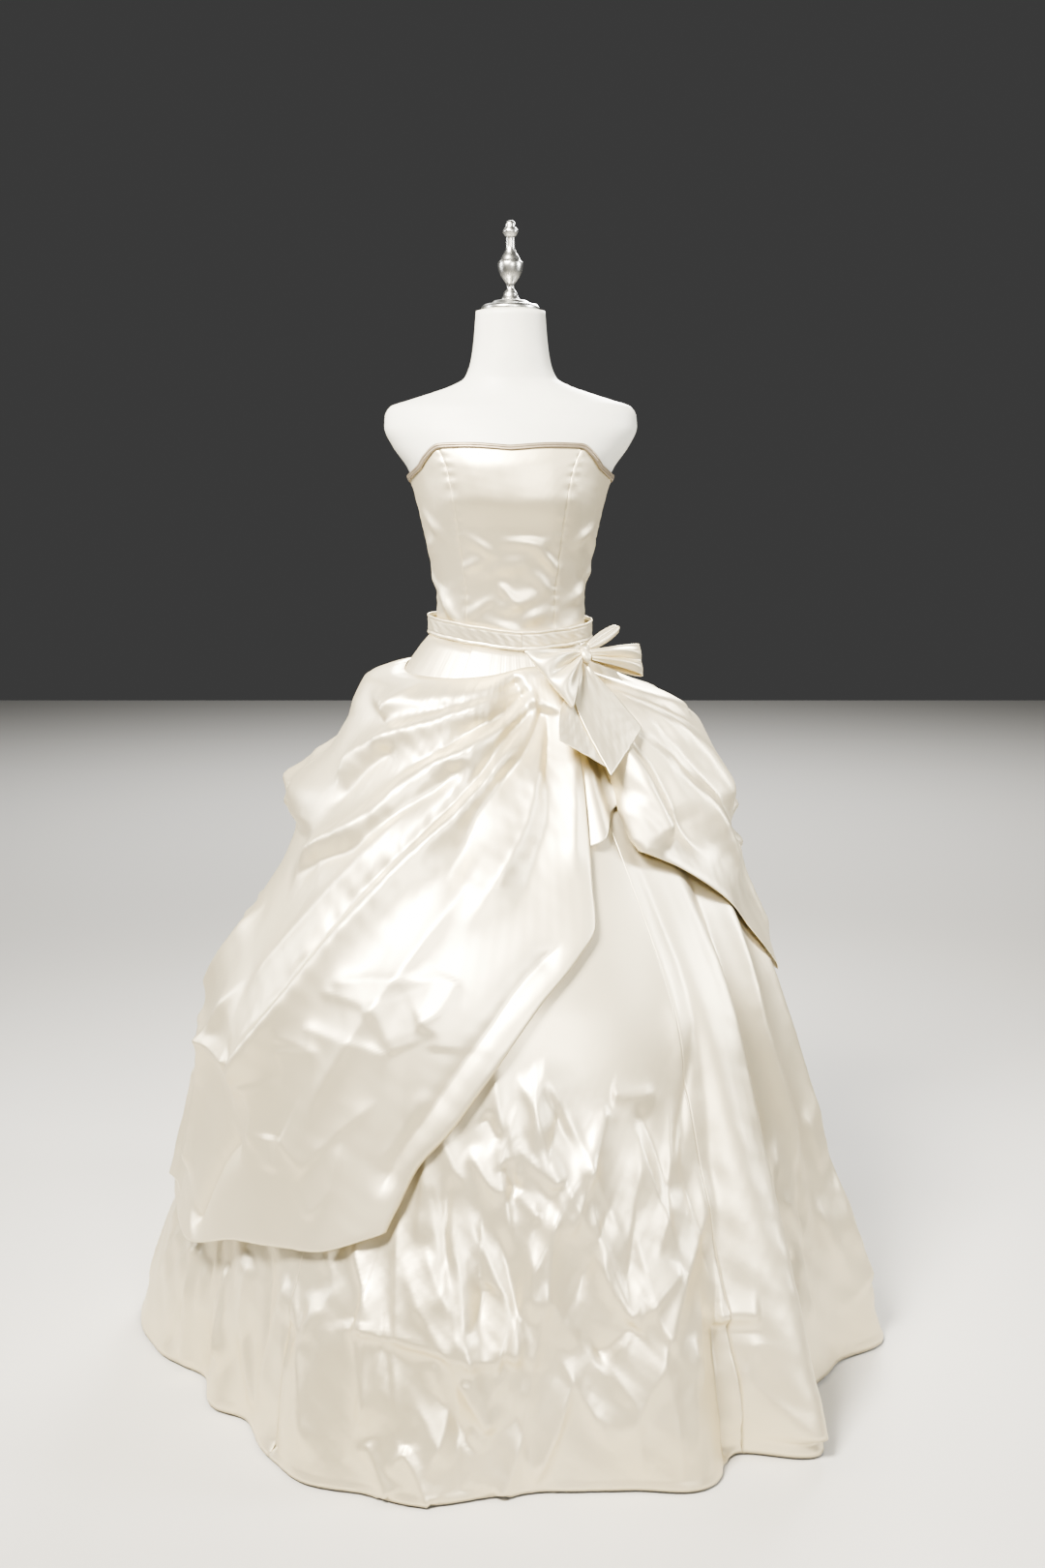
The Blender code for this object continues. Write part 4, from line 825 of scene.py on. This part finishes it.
def overPoint(azimuth, z, edge, folds):
    rolled = np.sqrt(1 - (1 - np.clip(edge / over["round"], 0, 1)) ** 2)
    full = lift(azimuth, z, folds)
    top = smooth(azimuth, over["top"]) - z
    held = np.where(top < 0.03, 0.0026 + (over["edgeLift"] - 0.0026) * ease(top / 0.03), over["edgeLift"])
    low = np.minimum(held, full)
    return around(azimuth, skirtRadius(azimuth, z) + np.maximum(flutes(azimuth, z),
        0) + low + (full - low) * rolled, z)


def swagPlace(u, v):
    start = smooth(1.056 + (0.333 - 1.056) * v, over["swagEdge"])
    azimuth = start + (-90 - start) * u
    top = smooth(azimuth, over["top"])
    return azimuth, top + (smooth(azimuth, over["hem"]) - top) * v


leftFolds, rightFolds = nearFolds(-90, 34), nearFolds(36, 90)


def swagShape(u, v):
    u = 1 - u
    v = 1 - v
    azimuth, z = swagPlace(u, v)
    a0, z0 = swagPlace(0 * u, v)
    edge = np.hypot(np.radians(a0 - azimuth) * skirtRadius(azimuth, z), z0 - z) * 0.8
    edge = np.minimum(np.minimum(edge, z - smooth(azimuth, over["hem"]) + 0.006),
        smooth(azimuth, over["top"]) - z)
    return overPoint(azimuth, z, edge, leftFolds)


cloth("overskirt_swag_left_satin", swagShape, 180, 204, ivorySatin, ["overskirt_swag_left"], (1.10, 1.15))
print("swag made")


def drapePlace(u, v):
    start = smooth(1.056 + (0.802 - 1.056) * v, over["rightEdge"])
    azimuth = start + (90 - start) * u
    top = smooth(azimuth, over["top"])
    return azimuth, top + (smooth(azimuth, over["rightHem"]) - top) * v


def drapeShape(u, v):
    v = 1 - v
    azimuth, z = drapePlace(u, v)
    a0, z0 = drapePlace(0 * u, v)
    edge = np.hypot(np.radians(a0 - azimuth) * skirtRadius(azimuth, z), z0 - z) * 0.8
    edge = np.minimum(np.minimum(edge, z - smooth(azimuth, over["rightHem"]) + 0.002),
        smooth(azimuth, over["top"]) - z)
    return overPoint(azimuth, z, edge, rightFolds)


cloth("overskirt_drape_right_satin", drapeShape, 100, 130, ivorySatin, ["overskirt_drape_right"],
    (0.55, 0.62))


def bustleShape(start, end, hemRows):
    folds = nearFolds(start, end)

    def shape(u, v):
        azimuth = start + (end - start) * u
        top, low = smooth(azimuth, over["top"]), smooth(azimuth, hemRows)
        z = low + (top - low) * v
        return overPoint(azimuth, z, np.minimum(z - low + 0.004, top - z), folds)

    return shape


for name, start, end, hemRows in (("overskirt_bustle_left", -180, -90, over["hem"]),
    ("overskirt_bustle_right", 90, 180, over["rightHem"])):
    shape = bustleShape(start, end, hemRows)
    cloth(name + "_satin", shape, 96, 130, ivorySatin, [name], (1.05, 1.00))


def cascadeShape(u, v):
    azimuth = 22.5 + 22 * u
    low = smooth(azimuth, ((22, 0.806), (28, 0.818), (35, 0.849), (42, 0.864), (46, 0.860)))
    z = low + (0.985 - low) * v
    pleat = 0.0075 * np.cos((azimuth - 29.5 - 3 * v) / 7.5 * np.pi)
    return around(azimuth, skirtRadius(azimuth, z) + 0.0036 + (0.0110 + pleat) * ease((1 - v) * 1.5), z)


cloth("overskirt_cascade_satin", cascadeShape, 60, 60, ivorySatin, ["overskirt_cascade"], (0.16, 0.22))
print("overskirt made")

bow = {
    "knot": np.array((0.1050, -0.1043, 1.0643)),
    "knotHigh": 0.0140,
    "facing": {"knot": (32, 38), "left": (28, 36), "right": (40, 22), "streamer": (35, 20)},
}


def facing(name):
    turn, tilt = np.radians(bow["facing"][name])
    right = np.array((np.cos(turn), np.sin(turn), 0.0))
    out = np.array((np.sin(turn) * np.cos(tilt), -np.cos(turn) * np.cos(tilt), np.sin(tilt)))
    return right, np.cross(out, right), out


def bowPoint(name, x, y, out):
    right, up, normal = facing(name)
    x, y, out = np.broadcast_arrays(x, y, out)
    middle = bow["knot"] + bow["knotHigh"] * facing("knot")[2]
    return middle + x[..., None] * right + y[..., None] * up + out[..., None] * normal


def loopShape(name, neck, outer, puff, pleats):
    neck, outer = np.array(neck), np.array(outer)

    def shape(u, v):
        s = 0.5 - 0.5 * np.cos(2 * np.pi * u)
        near = neck[0] + (neck[1] - neck[0]) * v[..., None]
        far = outer[0] + (outer[1] - outer[0]) * v[..., None]
        flat = near + (far - near) * s[..., None]
        hollow = puff * np.sin(2 * np.pi * u) * np.sqrt(s + 0.02) * (0.55 + 0.45 * np.sin(np.pi * v))
        apart = 0.0022 * np.cos(np.pi * u)
        front = np.cos(np.pi * np.clip(u, 0, 1)) > 0
        ridge = 0 * v
        for centre, wide, high in pleats:
            ridge = ridge + high * hump(v - centre,
                wide * (0.5 + s)) * np.sin(np.pi * np.clip(s * 0.92 + 0.06, 0, 1)) ** 0.8
        return bowPoint(name, flat[..., 0], flat[..., 1],
            hollow + apart + 0.009 * s + np.where(front, ridge, -0.3 * ridge))

    return shape


leftLoop = loopShape("left", ((-0.0094, 0.008), (-0.0094, -0.010)), ((-0.104, 0.006), (-0.056, -0.092)),
    0.013, ((0.28, 0.10, 0.0075), (0.50, 0.06, -0.0075), (0.72, 0.09, 0.0080), (0.10, 0.07, -0.0050)))
rightLoop = loopShape("right", ((0.0094, 0.007), (0.0094, -0.009)), ((0.104, 0.008), (0.094, -0.042)),
    0.014, ((0.28, 0.11, 0.0065), (0.55, 0.07, -0.0070), (0.80, 0.10, 0.0060)))
cloth("bow_loop_left_satin", leftLoop, 90, 40, ivorySatin, ["bow_loop_left"], (0.22, 0.11))
cloth("bow_loop_right_satin", rightLoop, 90, 40, ivorySatin, ["bow_loop_right"], (0.22, 0.055))


def knotPiece():
    built = bmesh.new()
    built.loops.layers.uv.new("cut")
    bmesh.ops.create_uvsphere(built, u_segments=64, v_segments=40, radius=1, calc_uvs=True)
    for vert in built.verts:
        x, y, z = vert.co
        crease = 1 + 0.06 * np.sin(x * 5.2 + z * 1.2) - 0.10 * np.exp(-((x - 0.25 + 0.2 * z) / 0.12) ** 2)
        vert.co = bowPoint("knot", np.array(x * 0.0085), np.array(z * 0.0130),
            np.array(y * 0.0080 * crease))
    bmesh.ops.recalc_face_normals(built, faces=built.faces)
    mesh = bpy.data.meshes.new("bow_knot_satin")
    built.to_mesh(mesh)
    built.free()
    finish("bow_knot_satin", mesh, ivorySatin, "bow_knot")


knotPiece()


def tailShape(rows, height, curl):
    def shape(u, v):
        left = np.stack([smooth(u, rows, 1), smooth(u, rows, 2)], -1)
        right = np.stack([smooth(u, rows, 3), smooth(u, rows, 4)], -1)
        flat = left + (right - left) * v[..., None]
        gather = 0.0016 * np.cos(v * 5 * np.pi) * ease(1 - u * 2.2)
        soft = curl * np.sin(np.pi * v) * ease(u * 1.5) + 0.0010 * drift(u * 3, v * 3, 2.0) * u
        return bowPoint("knot", flat[..., 0], flat[..., 1], height + gather * ease(u * 8) + soft)

    return shape


frontTail = ((0.0, -0.007, 0.006, 0.007, 0.006), (0.12, -0.011, -0.016, 0.009, -0.016),
    (0.38, -0.045, -0.076, 0.030, -0.064), (1.0, -0.033, -0.200, 0.055, -0.125))
backTail = ((0.0, -0.008, 0.002, 0.005, 0.002), (0.15, -0.013, -0.020, 0.003, -0.022),
    (0.45, -0.073, -0.085, -0.012, -0.078), (1.0, -0.094, -0.133, -0.024, -0.190))
for name, rows, height, curl in (("bow_tail_front", frontTail, -0.0095, 0.0030),
    ("bow_tail_back", backTail, -0.0120, 0.0008)):
    shape = tailShape(rows, height, curl)
    cloth(name + "_satin", shape, 60, 40, ivorySatin, [name], (0.21, 0.085))


def streamerShape(u, v):
    along = 0.014 + 0.070 * u
    tip = np.sqrt(np.clip(1 - np.clip((u - 0.88) / 0.12, 0, 1) ** 2, 0.02, 1))
    wide = (0.005 + 0.0045 * np.sin(np.pi * np.clip(u, 0, 1)) ** 0.7) * tip
    across = wide * (v - 0.5) * 2
    fold = 0.003 * (1 - (2 * v - 1) ** 2) - 0.0016 * hump(v - 0.55, 0.10)
    return bowPoint("streamer", along * 0.90 - across * 0.42, 0.0074 + along * 0.40 + across * 0.90,
        fold - 0.004)


cloth("bow_streamer_satin", streamerShape, 60, 24, ivorySatin, ["bow_streamer"], (0.075, 0.022))
print("bow made")


def floorPiece():
    built = bmesh.new()
    bmesh.ops.create_grid(built, x_segments=1, y_segments=1, size=9)
    mesh = bpy.data.meshes.new("floor")
    built.to_mesh(mesh)
    built.free()
    made, tree, shader = startMaterial("studio floor, pale matt vinyl")
    shader.inputs["Base Color"].default_value = colour("#c9c7c2")
    shader.inputs["Roughness"].default_value = 0.75
    mesh.materials.append(made)
    piece = bpy.data.objects.new("floor", mesh)
    scene.collection.objects.link(piece)


def softLight(name, place, aim, width, height, power, tone, spread=180):
    lamp = bpy.data.lights.new(name, "AREA")
    lamp.shape = "RECTANGLE"
    lamp.size, lamp.size_y = width, height
    lamp.energy = power
    lamp.spread = np.radians(spread)
    lamp.color = colour(tone)[:3]
    piece = bpy.data.objects.new(name, lamp)
    scene.collection.objects.link(piece)
    piece.location = place
    direction = np.array(aim) - np.array(place)
    piece.rotation_euler = Vector(direction).to_track_quat("-Z", "Y").to_euler()


floorPiece()
softLight("key softbox", (-1.5, -2.5, 3.8), (0, -0.1, 0.85), 1.3, 1.1, 84, "#fffaf0", 75)
softLight("low key softbox", (1.3, -4.3, 2.2), (0, 0, 0.70), 0.9, 0.9, 11, "#fffcf6", 60)
softLight("left strip", (-3.2, 0.3, 1.9), (0, 0, 0.75), 0.6, 2.0, 9, "#ffffff", 80)
softLight("right strip", (3.1, -0.3, 2.1), (0, 0, 0.75), 0.6, 2.0, 16, "#ffffff", 80)
softLight("back softbox", (0.8, 3.4, 3.2), (0, 0, 0.8), 1.4, 1.4, 30, "#ffffff", 80)
softLight("floor softbox", (0, 4.6, 4.6), (0, 4.8, 0), 5.0, 3.0, 170, "#ffffff", 130)
scene.view_settings.look = "AgX - High Contrast"
world = bpy.data.worlds.new("studio")
scene.world = world
world.use_nodes = True
world.node_tree.nodes["Background"].inputs["Color"].default_value = colour("#e6e6e6")
world.node_tree.nodes["Background"].inputs["Strength"].default_value = 0.09

camera = bpy.data.objects.new("camera", bpy.data.cameras.new("camera"))
scene.collection.objects.link(camera)
camera.location = (0.018, -2.728, 1.294)
camera.rotation_euler = (np.radians(90 - 9), 0, 0)
camera.data.sensor_width = 36
camera.data.lens = 40.64
scene.camera = camera

print("scene made")
